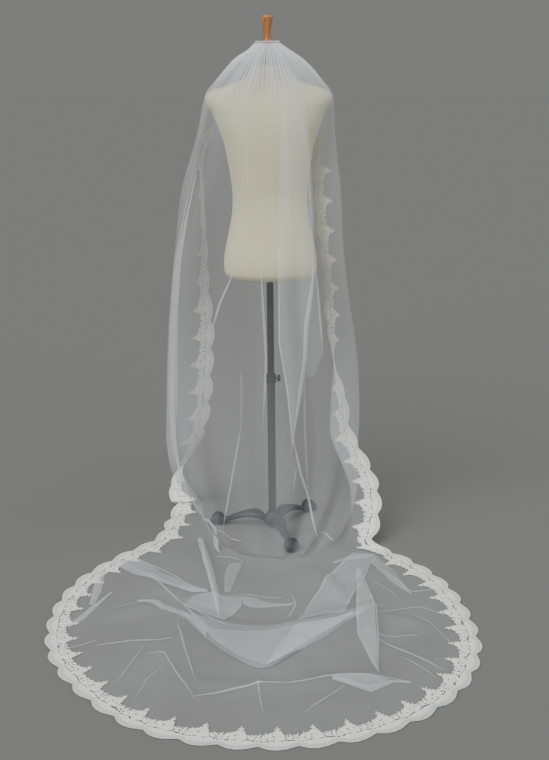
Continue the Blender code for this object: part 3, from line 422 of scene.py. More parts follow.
def train_rows():
    """Shares and heights, row by row: the incoming layer, the fold and the last layer."""
    rows = []
    bend = FOLD_STEP / 2 / TRAIN_LENGTH
    step = FOLD_STEP * fold_open
    for k in range(1, 49):
        rows.append(((fold_back - 0.05) * (k / 48)**1.1, 0 * step))
    before = len(rows)
    for k in range(1, 6):
        t = k / 6
        rows.append((fold_back - 0.05 * (1 - t), 2 * step * ease(t)))
    for k in range(14):
        rows.append((fold_back + (fold_front - fold_back) * k / 14, 2 * step))
    for a in np.radians(np.linspace(0, 165, 7)):
        rows.append((fold_front + bend * math.sin(a), step * (1.5 + 0.5 * math.cos(a))))
    for k in range(1, 10):
        rows.append((fold_front + (fold_back - fold_front) * k / 10, step))
    for a in np.radians(np.linspace(15, 180, 7)):
        rows.append((fold_back - bend * math.sin(a), step * (0.5 + 0.5 * math.cos(a))))
    after = len(rows)
    for k in range(1, 57):
        rows.append((fold_back + (1 - fold_back) * k / 56, 0 * step))
    start, end = rows[before - 1][0], rows[after][0]
    for k in range(before, after):
        share, height = rows[k]
        even = start + (end - start) * (k - before + 1) / (after - before + 1)
        rows[k] = (share * fold_open + even * (1 - fold_open), height)
    return rows


def away_from(points, line):
    """Distance of flat points from a polyline, and how far along it they are, from 0 to 1."""
    line = np.asarray(line, float)
    best = np.full(len(points), 9.0)
    share = np.zeros(len(points))
    for k in range(len(line) - 1):
        a, b = line[k], line[k + 1]
        t = np.clip(((points - a) @ (b - a)) / ((b - a) @ (b - a)), 0, 1)
        d = np.linalg.norm(points - a - t[:, None] * (b - a), axis=1)
        nearer = d < best
        share = np.where(nearer, (k + t) / (len(line) - 1), share)
        best = np.where(nearer, d, best)
    return best, share


def ridge_height(points):
    """Height of the train's soft ridges and sharp creases over flat points."""
    total = np.zeros(len(points))
    for k in range(len(RIDGES)):
        line = ((ridges["x0"][k], ridges["y0"][k]), (ridges["x1"][k], ridges["y1"][k]))
        away, t = away_from(points, line)
        bump = np.exp(-(away / ridges["half_width"][k])**2)
        taper = 1 - ease(2 * np.abs(t - 0.5) - 0.2)
        total = np.maximum(total, ridges["height"][k] * bump * (0.25 + 0.75 * taper))
    for lies, width, density, line in CREASES:
        if lies == "floor":
            away, t = away_from(points, line)
            ends = ease(np.minimum(t, 1 - t) / 0.2 + 0.15)
            total = total + 0.010 * density * ends * np.exp(-(away / 0.013)**2)
    x, y = points[:, 0], points[:, 1]
    total += 0.0016 * (1 + np.sin(23 * x + 9 * np.sin(7 * y)) * np.sin(19 * y + 5 * np.sin(6 * x + 1)))
    return total


def cloth_surface():
    """The tulle as rows of points, from the heading to the train's end."""
    rows = list(hanging)
    inside = ease(np.minimum(across, 1 - across) / 0.10 - 0.6)
    for share, height in train_rows():
        flat = train_point(share)
        from_touch = np.linalg.norm(flat - touch, axis=1)
        landing = 0.0295 * np.exp(-from_touch / 0.022)
        near_end = ease((1 - share) * TRAIN_LENGTH / 0.09 - 1)
        soft = ridge_height(flat) * inside * near_end * ease(from_touch / 0.05)
        soft = soft * np.where(height > 0, 0.35, 1.0)
        rows.append(np.column_stack([flat, 0.0007 + height + landing + soft]))
    grid = np.array(rows)
    near = grid[:len(heights)]
    for lies, width, density, line in CREASES:
        if lies != "back":
            continue
        points = near[..., (0, 2)].reshape(-1, 2)
        away, t = away_from(points, line)
        ends = ease(np.minimum(t, 1 - t) / 0.2)
        facing = (near[..., 1] < 0.0).ravel()
        lift = 0.008 * density * ends * facing * np.exp(-(away / 0.011)**2)
        near[..., 1] -= lift.reshape(near.shape[:2])
    return grid


def grid_normals(grid):
    """Outward normals: away from the form, and up on the train."""
    down = np.gradient(grid, axis=0)
    over = np.gradient(grid, axis=1)
    return unit(np.cross(down, over))


# Making pieces


def finish_piece(name, bm, *surfaces, smooth=True, angle=None):
    """Puts a mesh in the scene as a piece that stands with the stand."""
    mesh = bpy.data.meshes.new(name)
    bm.to_mesh(mesh)
    bm.free()
    made = bpy.data.objects.new(name, mesh)
    bpy.context.collection.objects.link(made)
    for surface in surfaces:
        mesh.materials.append(surface)
    if smooth:
        mesh.shade_smooth()
    if angle is not None:
        mesh.set_sharp_from_angle(angle=math.radians(angle))
    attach(made, "root")
    return made


def sheet_from(bm, grid):
    """Lays a flat bmesh grid on rows of points, outer face outwards, and tells each vertex's row and column."""
    rows, columns = grid.shape[:2]
    places = []
    for vert in bm.verts:
        i = round((vert.co.x + 1) / 2 * (columns - 1))
        j = rows - 1 - round((vert.co.y + 1) / 2 * (rows - 1))
        vert.co = grid[j, i] + POLE
        places.append((j, i))
    return np.array(places)


def new_sheet(name, grid, *surfaces, close_seam=False, angle=None, fullness=None):
    """A sheet piece on rows of points, with the cloth's fullness at each where it is given."""
    rows, columns = grid.shape[:2]
    bm = bmesh.new()
    bmesh.ops.create_grid(bm, x_segments=columns - 1, y_segments=rows - 1, size=1.0, calc_uvs=True)
    bm.loops.layers.uv.verify()
    places = sheet_from(bm, grid)
    if close_seam:
        bmesh.ops.remove_doubles(bm, verts=bm.verts, dist=1e-6)
    made = finish_piece(name, bm, *surfaces, angle=angle)
    if fullness is not None:
        values = made.data.attributes.new("fullness", "FLOAT", "POINT")
        values.data.foreach_set("value", fullness[places[:, 0], places[:, 1]].astype(np.float32))
    return made


def shader_of(name, roughness, metallic=0.0):
    """A new node material, its tree and its Principled shader."""
    made = bpy.data.materials.new(name)
    made.use_nodes = True
    tree = made.node_tree
    shader = tree.nodes["Principled BSDF"]
    shader.inputs["Roughness"].default_value = roughness
    shader.inputs["Metallic"].default_value = metallic
    return made, tree, shader


def mottled(tree, shader, first, second, scale, detail=4.0, where="Object"):
    """Colours a shader unevenly between two colours."""
    place = tree.nodes.new("ShaderNodeTexCoord")
    noise = tree.nodes.new("ShaderNodeTexNoise")
    noise.inputs["Scale"].default_value = scale
    noise.inputs["Detail"].default_value = detail
    ramp = tree.nodes.new("ShaderNodeValToRGB")
    ramp.color_ramp.elements[0].position = 0.35
    ramp.color_ramp.elements[0].color = (*first, 1)
    ramp.color_ramp.elements[1].position = 0.65
    ramp.color_ramp.elements[1].color = (*second, 1)
    tree.links.new(place.outputs[where], noise.inputs["Vector"])
    tree.links.new(noise.outputs["Fac"], ramp.inputs["Fac"])
    tree.links.new(ramp.outputs["Color"], shader.inputs["Base Color"])
    return place, noise


def bumped(tree, shader, texture_output, strength, distance):
    """Adds relief to a shader."""
    bump = tree.nodes.new("ShaderNodeBump")
    bump.inputs["Strength"].default_value = strength
    bump.inputs["Distance"].default_value = distance
    tree.links.new(texture_output, bump.inputs["Height"])
    tree.links.new(bump.outputs["Normal"], shader.inputs["Normal"])


def tulle_finish():
    """Sheer net, denser where it is gathered."""
    made, tree, shader = shader_of("sheer_tulle", 0.55)
    mottled(tree, shader, (0.80, 0.82, 0.86), (0.88, 0.89, 0.92), 9.0)
    shader.inputs["Sheen Weight"].default_value = 0.6
    shader.inputs["Sheen Roughness"].default_value = 0.35
    full = tree.nodes.new("ShaderNodeAttribute")
    full.attribute_name = "fullness"
    tree.links.new(full.outputs["Fac"], shader.inputs["Alpha"])
    return made


def folded_finish(name, alpha):
    """The same net where folded layers lie together."""
    made, tree, shader = shader_of(name, 0.5)
    mottled(tree, shader, (0.84, 0.86, 0.90), (0.92, 0.93, 0.95), 30.0)
    shader.inputs["Sheen Weight"].default_value = 0.5
    shader.inputs["Sheen Roughness"].default_value = 0.35
    shader.inputs["Alpha"].default_value = alpha
    return made


def lace_finish():
    """Ivory embroidery with slightly yellow flecks and a thread relief."""
    made, tree, shader = shader_of("ivory_lace", 0.75)
    place, noise = mottled(tree, shader, (0.97, 0.97, 0.95), (0.95, 0.94, 0.88), 26.0, 2.0)
    threads = tree.nodes.new("ShaderNodeTexVoronoi")
    threads.inputs["Scale"].default_value = 750.0
    tree.links.new(place.outputs["Object"], threads.inputs["Vector"])
    bumped(tree, shader, threads.outputs["Distance"], 0.55, 0.0006)
    shader.inputs["Sheen Weight"].default_value = 0.3
    return made


def jersey_finish():
    """Cream knitted jersey."""
    made, tree, shader = shader_of("cream_jersey_knit", 0.85)
    place, noise = mottled(tree, shader, (0.71, 0.68, 0.43), (0.76, 0.73, 0.48), 6.0)
    knit = tree.nodes.new("ShaderNodeTexWave")
    knit.bands_direction = "Z"
    knit.inputs["Scale"].default_value = 320.0
    knit.inputs["Distortion"].default_value = 1.5
    tree.links.new(place.outputs["Object"], knit.inputs["Vector"])
    bumped(tree, shader, knit.outputs["Fac"], 0.25, 0.0004)
    shader.inputs["Sheen Weight"].default_value = 0.35
    return made


def wood_finish():
    """Turned wood with long grain under varnish."""
    made, tree, shader = shader_of("varnished_wood", 0.32)
    place, noise = mottled(tree, shader, (0.30, 0.11, 0.03), (0.55, 0.24, 0.08), 1.0, 6.0)
    stretch = tree.nodes.new("ShaderNodeMapping")
    stretch.inputs["Scale"].default_value = (160, 160, 14)
    tree.links.new(place.outputs["Object"], stretch.inputs["Vector"])
    tree.links.new(stretch.outputs["Vector"], noise.inputs["Vector"])
    shader.inputs["Coat Weight"].default_value = 0.4
    bumped(tree, shader, noise.outputs["Fac"], 0.15, 0.0005)
    return made


def metal_finish(name, first, second, roughness, metallic, scale, relief):
    """Painted or cast metal with uneven colour and a fine surface."""
    made, tree, shader = shader_of(name, roughness, metallic)
    place, noise = mottled(tree, shader, first, second, scale, 5.0)
    bumped(tree, shader, noise.outputs["Fac"], relief, 0.001)
    return made


tulle = tulle_finish()
tulle_fold = folded_finish("folded_tulle", 0.16)
lace = lace_finish()
lace_net = folded_finish("ivory_net", 0.72)
jersey = jersey_finish()
wood = wood_finish()
black = metal_finish("black_enamel", (0.006, 0.006, 0.007), (0.016, 0.016, 0.018), 0.35, 0.2, 40.0, 0.05)
iron = metal_finish("cast_black_iron", (0.008, 0.008, 0.009), (0.026, 0.026, 0.029), 0.5, 0.3, 90.0, 0.4)
cap_metal = metal_finish("satin_grey_cap", (0.33, 0.34, 0.33), (0.42, 0.43, 0.42), 0.45, 0.5, 30.0, 0.05)

# The tulle

# How much the net hides at each height of the hanging cloth
HIDING = (
    (1.617, .80), (1.600, .74), (1.577, .66), (1.540, .55), (1.505, .42), (1.470, .29), (1.430, .170), (1.370, .110),
    (1.200, .070), (.950, .055), (.700, .065), (.500, .095), (.300, .120), (.100, .125), (.030, .130),
)
TRAIN_HIDING = 0.13
cloth = cloth_surface()
rows_count = cloth.shape[0]
last_row = rows_count - 1
last_column = column_count - 1
landed = len(heights)


def net_fullness():
    """How dense the net looks over the cloth: more in the gathers, at the sides and in soft streaks."""
    hiding = np.array(HIDING)
    level = smooth_through(hiding[:, 0], hiding[:, 1], cloth[:, 0, 2])
    level[landed:] = TRAIN_HIDING
    places = (np.arange(column_count) - ACROSS_STRIP) / ACROSS_BODY * 2 - 1
    z = cloth[:, :, 2]
    sides = 1.7 * ease((-places - 0.55) / 0.12) + 1.1 * ease((places - 0.60) / 0.12)
    on_sides = ease((1.50 - z) / 0.15) * ease((z - 0.06) / 0.25)
    phase = np.interp(places, GATHER_PHASE, np.arange(GATHERS + 1))
    gathered = 0.55 * np.sin(2 * math.pi * phase) * ease((z - 1.40) / 0.12)
    streaks = 0.30 * np.sin(21 * places + 2.0 * np.sin(2.2 * z)) * np.sin(8.3 * places + 1.1 * z + 0.6)
    hanging_part = level[:, None] * (1 + sides * on_sides + gathered + streaks)
    x, y = cloth[:, :, 0], cloth[:, :, 1]
    drift = 0.22 * np.sin(9 * x + 3 * np.sin(4 * y)) * np.sin(7 * y + 2 * np.sin(5 * x + 1))
    train_part = TRAIN_HIDING * (1 + drift)
    on_train = (np.arange(rows_count) >= landed)[:, None]
    return np.clip(np.where(on_train, train_part, hanging_part), 0.02, 0.8)


veil = new_sheet("veil_net", cloth, tulle, fullness=net_fullness())

cloth_tree = BVHTree.FromPolygons([v.co.copy() for v in veil.data.vertices],
                                  [tuple(p.vertices) for p in veil.data.polygons])


def on_cloth(lies, points, lift):
    """Places flat points on the cloth's outer face, a little off it."""
    found = []
    for x, w in points:
        if lies == "back":
            start, way = Vector((x + POLE[0], -0.6 + POLE[1], w)), Vector((0, 1, 0))
        else:
            start, way = Vector((x + POLE[0], w + POLE[1], 0.045)), Vector((0, 0, -1))
        hit, normal, _, _ = cloth_tree.ray_cast(start, way)
        if hit is None:
            hit = Vector((x + POLE[0], w + POLE[1], 0.001)) if lies == "floor" else None
        found.append(None if hit is None else np.array(hit) - np.array(way) * lift - POLE)
    return found


def laid_band(name, lies, first, second, count, width_count, lift, surface, rise=0.0):
    """A band of folded cloth between two long edges, laid on the veil."""
    first, second = along_line(first, count), along_line(second, count)
    rows = []
    for a, b in zip(first, second):
        shares = np.linspace(0, 1, width_count)
        placed = on_cloth(lies, [a + (b - a) * s for s in shares], lift)
        if any(p is None for p in placed):
            continue
        placed = np.array(placed)
        crown = rise * np.sin(math.pi * shares)
        placed[:, 1 if lies == "back" else 2] += -crown if lies == "back" else crown
        rows.append(placed)
    grid = np.array(rows)
    if grid_normals(grid)[..., 1 if lies == "back" else 2].mean() * (-1 if lies == "back" else 1) < 0:
        grid = grid[:, ::-1]
    return new_sheet(name, grid, surface)


def crease_edges(line, width):
    """The two edges of a tapering crease along a line."""
    line = along_line(line, 24)
    heading = unit(np.gradient(line, axis=0))
    aside = np.stack([-heading[:, 1], heading[:, 0]], axis=1)
    t = np.linspace(0, 1, len(line))
    half = width / 2000 * (0.12 + 0.88 * ease(np.minimum(t, 1 - t) / 0.3))
    return line - aside * half[:, None], line + aside * half[:, None]


fold_finishes = {}


def fold_surface(alpha):
    """The finish for one density of folded cloth, made once."""
    key = round(alpha * 20) / 20
    if key not in fold_finishes:
        fold_finishes[key] = folded_finish(f"folded_tulle_{round(key * 100):02d}", key)
    return fold_finishes[key]


for number, (lies, width, density, line) in enumerate(CREASES):
    first, second = crease_edges(line, width)
    laid_band(f"pressed_crease_{number:02d}", lies, first, second, 40, 4, 0.0026,
                           fold_surface(density * 0.70), 0.0015)
for number, (lies, density, swell, first, second) in enumerate(LAYERS):
    laid_band(f"lapped_layer_{number:02d}", lies, first, second, 60, 14, 0.0015,
                           fold_surface(density), swell / 1000)

# The lace

edge_rows = np.concatenate([np.arange(rows_count), np.full(last_column, last_row), np.arange(last_row - 1, -1, -1)])
edge_columns = np.concatenate([np.zeros(rows_count, int), np.arange(1, column_count), np.full(last_row, last_column)])
edge_in = np.concatenate([cloth[:, 1] - cloth[:, 0], np.zeros((last_column, 3)), (cloth[:, -2] - cloth[:, -1])[:-1][::-1]])
edge_points = cloth[edge_rows, edge_columns]
edge_along = unit(np.gradient(edge_points, axis=0))
edge_level = unit(np.stack([-edge_along[:, 1], edge_along[:, 0], 0 * edge_along[:, 0]], axis=1))
edge_step = np.linalg.norm(edge_in, axis=1)
strip_heights = np.maximum(cloth[:, :ACROSS_STRIP + 1, 2].max(axis=1), cloth[:, -ACROSS_STRIP - 1:, 2].max(axis=1))
flat_row = int(np.argmax(strip_heights < 0.0016))
edge_in[edge_rows > flat_row] = edge_level[edge_rows > flat_row]
edge_out = unit(np.cross(edge_along, unit(edge_in)))
edge_out[edge_rows >= flat_row] = (0, 0, 1)
edge_length = np.concatenate([[0], np.cumsum(np.linalg.norm(np.diff(edge_points, axis=0), axis=1))])


def along_edge(values, s):
    """A value along the edge at lengths s."""
    if values.ndim == 1:
        return np.interp(s, edge_length, values)
    return np.stack([np.interp(s, edge_length, values[:, a]) for a in range(values.shape[1])], axis=-1)


def on_edge(s, t):
    """Points of the cloth near its edge, at lengths s and distances t in from it, with normals."""
    row = along_edge(edge_rows.astype(float), s)
    out = unit(along_edge(edge_out, s))
    steps_in = t / np.maximum(along_edge(edge_step, s), 1e-4)
    column = np.where(s < edge_length[-1] / 2, steps_in, last_column - steps_in)
    j = np.clip(row.astype(int), 0, last_row - 1)
    i = np.clip(np.floor(column).astype(int), 0, last_column - 1)
    a, f = (row - j)[..., None], (column - i)[..., None]
    upper = cloth[j, i] * (1 - f) + cloth[j, i + 1] * f
    lower = cloth[j + 1, i] * (1 - f) + cloth[j + 1, i + 1] * f
    hanging_points = upper * (1 - a) + lower * a
    flat_points = along_edge(edge_points, s) + unit(along_edge(edge_in, s)) * t[..., None]
    flat_points[..., 2] = 0.0012
    hung = (row < flat_row)[..., None]
    return np.where(hung, hanging_points, flat_points), out


half_line = len(edge_points) // 2
trim_start = np.interp(-LACE_START_HEIGHT, -edge_points[:half_line, 2], edge_length[:half_line])
trim_end = np.interp(LACE_START_HEIGHT, edge_points[half_line:, 2], edge_length[half_line:])
repeat_count = round((trim_end - trim_start) / LACE_REPEAT)
repeat = (trim_end - trim_start) / repeat_count

LACE_CELL = 1.4
LACE_LINES = round(98 / LACE_CELL)
LACE_REACH = (-16.0, 80.0)
LACE_ROWS = round((LACE_REACH[1] - LACE_REACH[0]) / LACE_CELL)


def oval(x, y, cx, cy, a, b, turn):
    """Rough distance inside a turned oval, in mm, and its scaled radius."""
    c, s = math.cos(math.radians(turn)), math.sin(math.radians(turn))
    dx, dy = x - cx, y - cy
    r = np.sqrt(((dx * c + dy * s) / a)**2 + ((-dx * s + dy * c) / b)**2)
    return (1 - r) * min(a, b), r


def lace_pattern(shake):
    """One repeat of the lace: how far inside the thread work each point is, and its relief."""
    x, y = np.meshgrid(np.linspace(0, 98, LACE_LINES + 1), np.linspace(*LACE_REACH, LACE_ROWS + 1))
    scallop = np.array(SCALLOP, float)
    out = smooth_through(scallop[:, 0], scallop[:, 1], x)
    edge = y + out
    top = 38.0 + 1.5 * np.sin(x * 0.9) + 1.2 * np.sin(x * 0.37 + 1)
    inside = np.minimum(edge, top - y)
    relief = 0.25 + 0 * x
    relief = np.maximum(relief, 1.3 * np.exp(-((edge - 1.6) / 1.3)**2))
    relief = np.maximum(relief, 0.9 * np.exp(-((edge - 12.5) / 1.1)**2))
    relief = np.maximum(relief, 0.9 * np.exp(-((edge - 19.5) / 1.1)**2))
    cells = np.sin(x * 2 * math.pi / 7) * np.sin(edge * 2 * math.pi / 6)
    relief = np.maximum(relief, 1.0 * ease((cells - 0.15) / 0.5) * ease((edge - 2) / 1.5) * ease((14 - edge) / 2))
    for cx, cy, a, b, turn in LEAVES:
        cx, cy = cx + shake.normal() * 0.5, cy + shake.normal() * 0.6
        turn = turn + shake.normal() * 6
        for shift in (-98, 0, 98):
            d, r = oval(x, y, cx + shift, cy, a, b, turn)
            inside = np.maximum(inside, d)
            relief = np.maximum(relief, np.where(r < 1, 1.4 * np.sqrt(np.maximum(1 - r, 0)) + 0.3, 0))
    for cx, cy, reach, petals in FLOWERS:
        start = shake.random() * 360
        for k in range(petals):
            turn = start + 360 * k / petals
            px = cx + 0.58 * reach * math.cos(math.radians(turn))
            py = cy + 0.58 * reach * math.sin(math.radians(turn))
            for shift in (-98, 0, 98):
                d, r = oval(x, y, px + shift, py, reach * 0.5, reach * 0.33, turn)
                inside = np.maximum(inside, d)
                relief = np.maximum(relief, np.where(r < 1, 1.2 * np.sqrt(np.maximum(1 - r, 0)) + 0.3, 0))
    holes = np.full_like(x, 9.0)
    for cx, cy, a, b, turn in EYELETS:
        size = 1 + 0.18 * shake.normal()
        d, r = oval(x, y, cx + shake.normal() * 0.9, cy + shake.normal() * 0.7, a * size, b * size, turn + 12 * shake.normal())
        holes = np.minimum(holes, -d)
        relief = np.maximum(relief, 1.2 * np.exp(-((d + 1.0) / 0.9)**2))
    return np.minimum(inside, holes), relief, (edge < 15) & (relief < 0.75)


def lace_piece(name, first, stop):
    """A run of the lace trim from one repeat to another."""
    shake = np.random.default_rng(100 + first)
    blocks = [lace_pattern(shake) for _ in range(first, stop)]
    inside = np.concatenate([b[0][:, :-1] for b in blocks] + [blocks[-1][0][:, -1:]], axis=1)
    relief = np.concatenate([b[1][:, :-1] for b in blocks] + [blocks[-1][1][:, -1:]], axis=1)
    net = np.concatenate([b[2][:, :-1] for b in blocks] + [blocks[-1][2][:, -1:]], axis=1)
    rows, columns = inside.shape
    x, y = np.meshgrid(np.arange(columns) * 98 / LACE_LINES, np.linspace(*LACE_REACH, rows))
    slope_y, slope_x = np.gradient(inside, LACE_CELL)
    pull = np.where(np.abs(inside) < 0.9, -inside, 0.0)
    size = np.maximum(np.hypot(slope_x, slope_y), 0.3)
    x_moved = x + np.clip(pull * slope_x / size, -0.6, 0.6)
    y_moved = y + np.clip(pull * slope_y / size, -0.6, 0.6)
    x_moved[:, 0], x_moved[:, -1] = x[:, 0] + 0.15, x[:, -1] - 0.15
    centre = (inside[:-1, :-1] + inside[1:, :-1] + inside[:-1, 1:] + inside[1:, 1:]) / 4
    s = trim_start + (first + x_moved / 98) * repeat
    base, out = on_edge(s, y_moved / 1000)
    points = base + out * (0.0012 + relief[..., None] * 0.0011)
    bm = bmesh.new()
    bmesh.ops.create_grid(bm, x_segments=columns - 1, y_segments=rows - 1, size=1.0, calc_uvs=True)
    bm.loops.layers.uv.verify()
    bare = []
    for face in bm.faces:
        middle = face.calc_center_median()
        i = int((middle.x + 1) / 2 * (columns - 1))
        j = int((middle.y + 1) / 2 * (rows - 1))
        if centre[j, i] < 0.05:
            bare.append(face)
        face.material_index = int(net[j, i])
    bmesh.ops.delete(bm, geom=bare, context="FACES")
    for vert in bm.verts:
        i = round((vert.co.x + 1) / 2 * (columns - 1))
        j = round((vert.co.y + 1) / 2 * (rows - 1))
        vert.co = points[j, i] + POLE
    return finish_piece(name, bm, lace, lace_net)


touch_left = edge_length[landed] - trim_start
touch_right = edge_length[len(edge_points) - 1 - landed] - trim_start
corner_left = edge_length[last_row] - trim_start
corner_right = edge_length[last_row + last_column] - trim_start
middle_front = (corner_left + corner_right) / 2
breaks = [0] + [round(v / repeat) for v in (touch_left, corner_left, middle_front, corner_right, touch_right)]
breaks.append(repeat_count)
LACE_NAMES = ("lace_left_fall", "lace_left_train", "lace_end_left", "lace_end_right",
              "lace_right_train", "lace_right_fall")
for node, first, stop in zip(LACE_NAMES, breaks, breaks[1:]):
    piece = lace_piece(node.replace("lace", "scalloped_lace"), first, stop)
    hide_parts(node)
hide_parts("veil_tulle", "veil_tulle_left", "veil_tulle_right", "veil_tulle_train")

# The gathered heading

HEADING_REACH = 100.0
HEADING_RING = 0.035
HEADING_RADIUS = 0.0032
HEADING_FLATNESS = 0.9
RUCHE = 0.0007
SEAM_GAP = 0.0003


def ruched_heading():
    """The band round the finial's foot that the gathers are sewn into, on the net's top edge."""
    rows = []
    middle_height = heights[0] + SEAM_GAP + (HEADING_RADIUS + RUCHE) * HEADING_FLATNESS
    for n in range(13):
        turn = 2 * math.pi * n / 12
        row = []
        for k in range(241):
            c = -1 + 2 * k / 240
            angle = math.radians(HEADING_REACH) * c
            ruche = RUCHE * math.sin(k * 0.83 + 1.5 * math.sin(k * 0.21)) * (1 - abs(c)**12)
            radius = (HEADING_RADIUS + ruche) * (0.35 + 0.65 * min(1, (1 - abs(c)) * 12))
            out = np.array([math.sin(angle), -math.cos(angle), 0.0])
            row.append(out * (HEADING_RING + radius * math.cos(turn))
                       + np.array([0, 0, middle_height + radius * HEADING_FLATNESS * math.sin(turn)]))
        rows.append(row)
    return new_sheet("ruched_heading", np.array(rows), tulle_band, close_seam=True)


tulle_band = folded_finish("gathered_tulle_band", 0.38)
heading = ruched_heading()
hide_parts("veil_heading")

# The dress form

FORM_COLUMNS = ("z", "half_width", "back", "front")
FORM = (
    (1.552, .0500, .050, .050), (1.540, .0525, .052, .052), (1.524, .0640, .054, .054),
    (1.509, .0860, .058, .056), (1.494, .1270, .062, .058), (1.479, .1750, .066, .062),
    (1.464, .1964, .074, .070), (1.444, .1970, .084, .082), (1.415, .1800, .094, .098),
    (1.375, .1640, .102, .116), (1.325, .1450, .104, .132), (1.270, .1340, .102, .134),
    (1.210, .1240, .096, .118), (1.150, .1190, .090, .102), (1.100, .1220, .092, .096),
    (1.050, .1310, .100, .098), (1.000, .1420, .110, .102), (.955, .1500, .118, .105),
    (.925, .1510, .119, .105), (.903, .1460, .114, .101), (.890, .1330, .102, .090),
)
FORM_SQUARENESS = 2.25
FORM_SHIFT = 0.00275
form = as_columns(FORM, FORM_COLUMNS)


def torso():
    """The padded torso with its sewn seams."""
    rows = []
    levels = np.concatenate([np.linspace(1.552, 1.43, 40, endpoint=False), np.linspace(1.43, 0.89, 90)])
    turns = np.linspace(0, 2 * math.pi, 145)
    c, s = np.cos(turns), np.sin(turns)
    for z in levels:
        half, back, front = (float(smooth_through(form["z"], form[k], z)) for k in FORM_COLUMNS[1:])
        x = half * np.sign(c) * np.abs(c)**(2 / FORM_SQUARENESS)
        y = np.where(s > 0, front, back) * np.sign(s) * np.abs(s)**(2 / FORM_SQUARENESS)
        seams = np.exp(-((x) / 0.0022)**2) + np.exp(-((np.abs(c) - 1) / 0.0006)**2)
        pull = 1 - 0.012 * seams * ease((1.54 - z) / 0.02)
        rows.append(np.column_stack([x * pull + FORM_SHIFT, y * pull, np.full(len(x), z)]))
    for share in (0.93, 0.8, 0.5, 0.15, 0.0):
        last = rows[len(levels) - 1]
        ring = last.copy()
        ring[:, :2] = (last[:, :2] - (FORM_SHIFT, 0)) * share + (FORM_SHIFT, 0)
        rows.append(ring)
    top = rows[0]
    for share in (0.95, 0.85, 0.6, 0.0):
        ring = top.copy()
        ring[:, :2] = (top[:, :2] - (FORM_SHIFT, 0)) * share + (FORM_SHIFT, 0)
        rows.insert(0, ring)
    return new_sheet("jersey_torso", np.array(rows)[:, ::-1], jersey, close_seam=True, angle=50)


body = torso()
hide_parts("form_torso")


def turned_piece(name, profile, surface, sides=64, angle=45):
    """A turned piece on the stand's axis, spun from its profile of radii and heights."""
    bm = bmesh.new()
    verts = [bm.verts.new((r, 0, z)) for r, z in profile]
    edges = [bm.edges.new(pair) for pair in zip(verts, verts[1:])]
    bmesh.ops.spin(bm, geom=verts + edges, cent=(0, 0, 0), axis=(0, 0, 1), angle=2 * math.pi, steps=sides,
                   use_merge=True, use_duplicate=False)
    bmesh.ops.remove_doubles(bm, verts=bm.verts, dist=1e-6)
    bmesh.ops.recalc_face_normals(bm, faces=bm.faces)
    bmesh.ops.translate(bm, verts=bm.verts, vec=POLE)
    return finish_piece(name, bm, surface, angle=angle)


def soft_profile(points, count):
    """A profile smoothed between its points."""
    points = np.array(points, float)
    t = np.arange(len(points), dtype=float)
    fine = np.linspace(0, len(points) - 1, count)
    return [(max(float(r), 0.0), float(z)) for r, z in zip(smooth_through(t, points[:, 0], fine),
                                                          smooth_through(t, points[:, 1], fine))]


CAP_LOW = 1.5523
cap = turned_piece("neck_cap", [(0, CAP_LOW)] + [(0.030, CAP_LOW)] + soft_profile(
    ((.030, CAP_LOW + .003), (.030, CAP_LOW + .034), (.027, CAP_LOW + .050), (.0186, CAP_LOW + .062)), 16)
    + [(0, CAP_LOW + .062)], cap_metal)
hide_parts("form_neck_cap")

FINIAL_LOW = CAP_LOW + 0.062 + 0.0003
finial = turned_piece("turned_finial", [(0, FINIAL_LOW)] + [(r, FINIAL_LOW + z) for r, z in soft_profile(
    ((.0165, .000), (.0175, .004), (.0165, .009), (.0125, .012), (.0118, .030), (.0128, .045),
     (.0152, .062), (.0172, .074), (.0172, .080), (.0150, .0835), (.0090, .085)), 60)]
    + [(0, FINIAL_LOW + .085)], wood)
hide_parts("form_finial")

# The stand

CLAMP = 0.543
HUB_TOP = 0.060
pole = turned_piece("upper_pole", ((0, .8897), (.0115, .8897), (.0115, CLAMP + .0163), (0, CLAMP + .0163)), black)
tube = turned_piece("lower_tube", ((0, CLAMP - .0163), (.0131, CLAMP - .0163), (.0135, CLAMP - .0170),
                                   (.0135, .062), (.0135, .0603), (0, .0603)), black)
collar = turned_piece("clamp_collar", ((0, CLAMP + .016), (.0136, CLAMP + .016), (.0165, CLAMP + .0145),
                                       (.0170, CLAMP + .012), (.0170, CLAMP - .012), (.0165, CLAMP - .0145),
                                       (.0142, CLAMP - .016), (0, CLAMP - .016)), black)
hub = turned_piece("cast_hub", [(0, HUB_TOP)] + soft_profile(
    ((.0165, HUB_TOP), (.0195, HUB_TOP - .004), (.0215, HUB_TOP - .008), (.0270, HUB_TOP - .012),
     (.0300, HUB_TOP - .018), (.0300, HUB_TOP - .036), (.0250, HUB_TOP - .042), (.0180, HUB_TOP - .044)), 40)
    + [(0, HUB_TOP - .044)], iron)


def thumb_knob():
    """The clamp's knob, with a fluted rim, on a short stem that points to +X."""
    rows = []
    for x, r in ((.0173, 0), (.0173, .004), (.0200, .004), (.0205, .0085), (.0212, .0105), (.0260, .0114),
                 (.0300, .0112), (.0316, .0100), (.0320, .0070), (.0320, .0)):
        row = []
        for k in range(97):
            turn = 2 * math.pi * k / 96
            flute = 1 - 0.045 * (0.5 + 0.5 * math.cos(16 * turn)) * (r > .0100)
            row.append((x, r * flute * math.cos(turn), CLAMP + r * flute * math.sin(turn)))
        rows.append(row)
    return new_sheet("thumb_knob", np.array(rows), black, close_seam=True, angle=40)


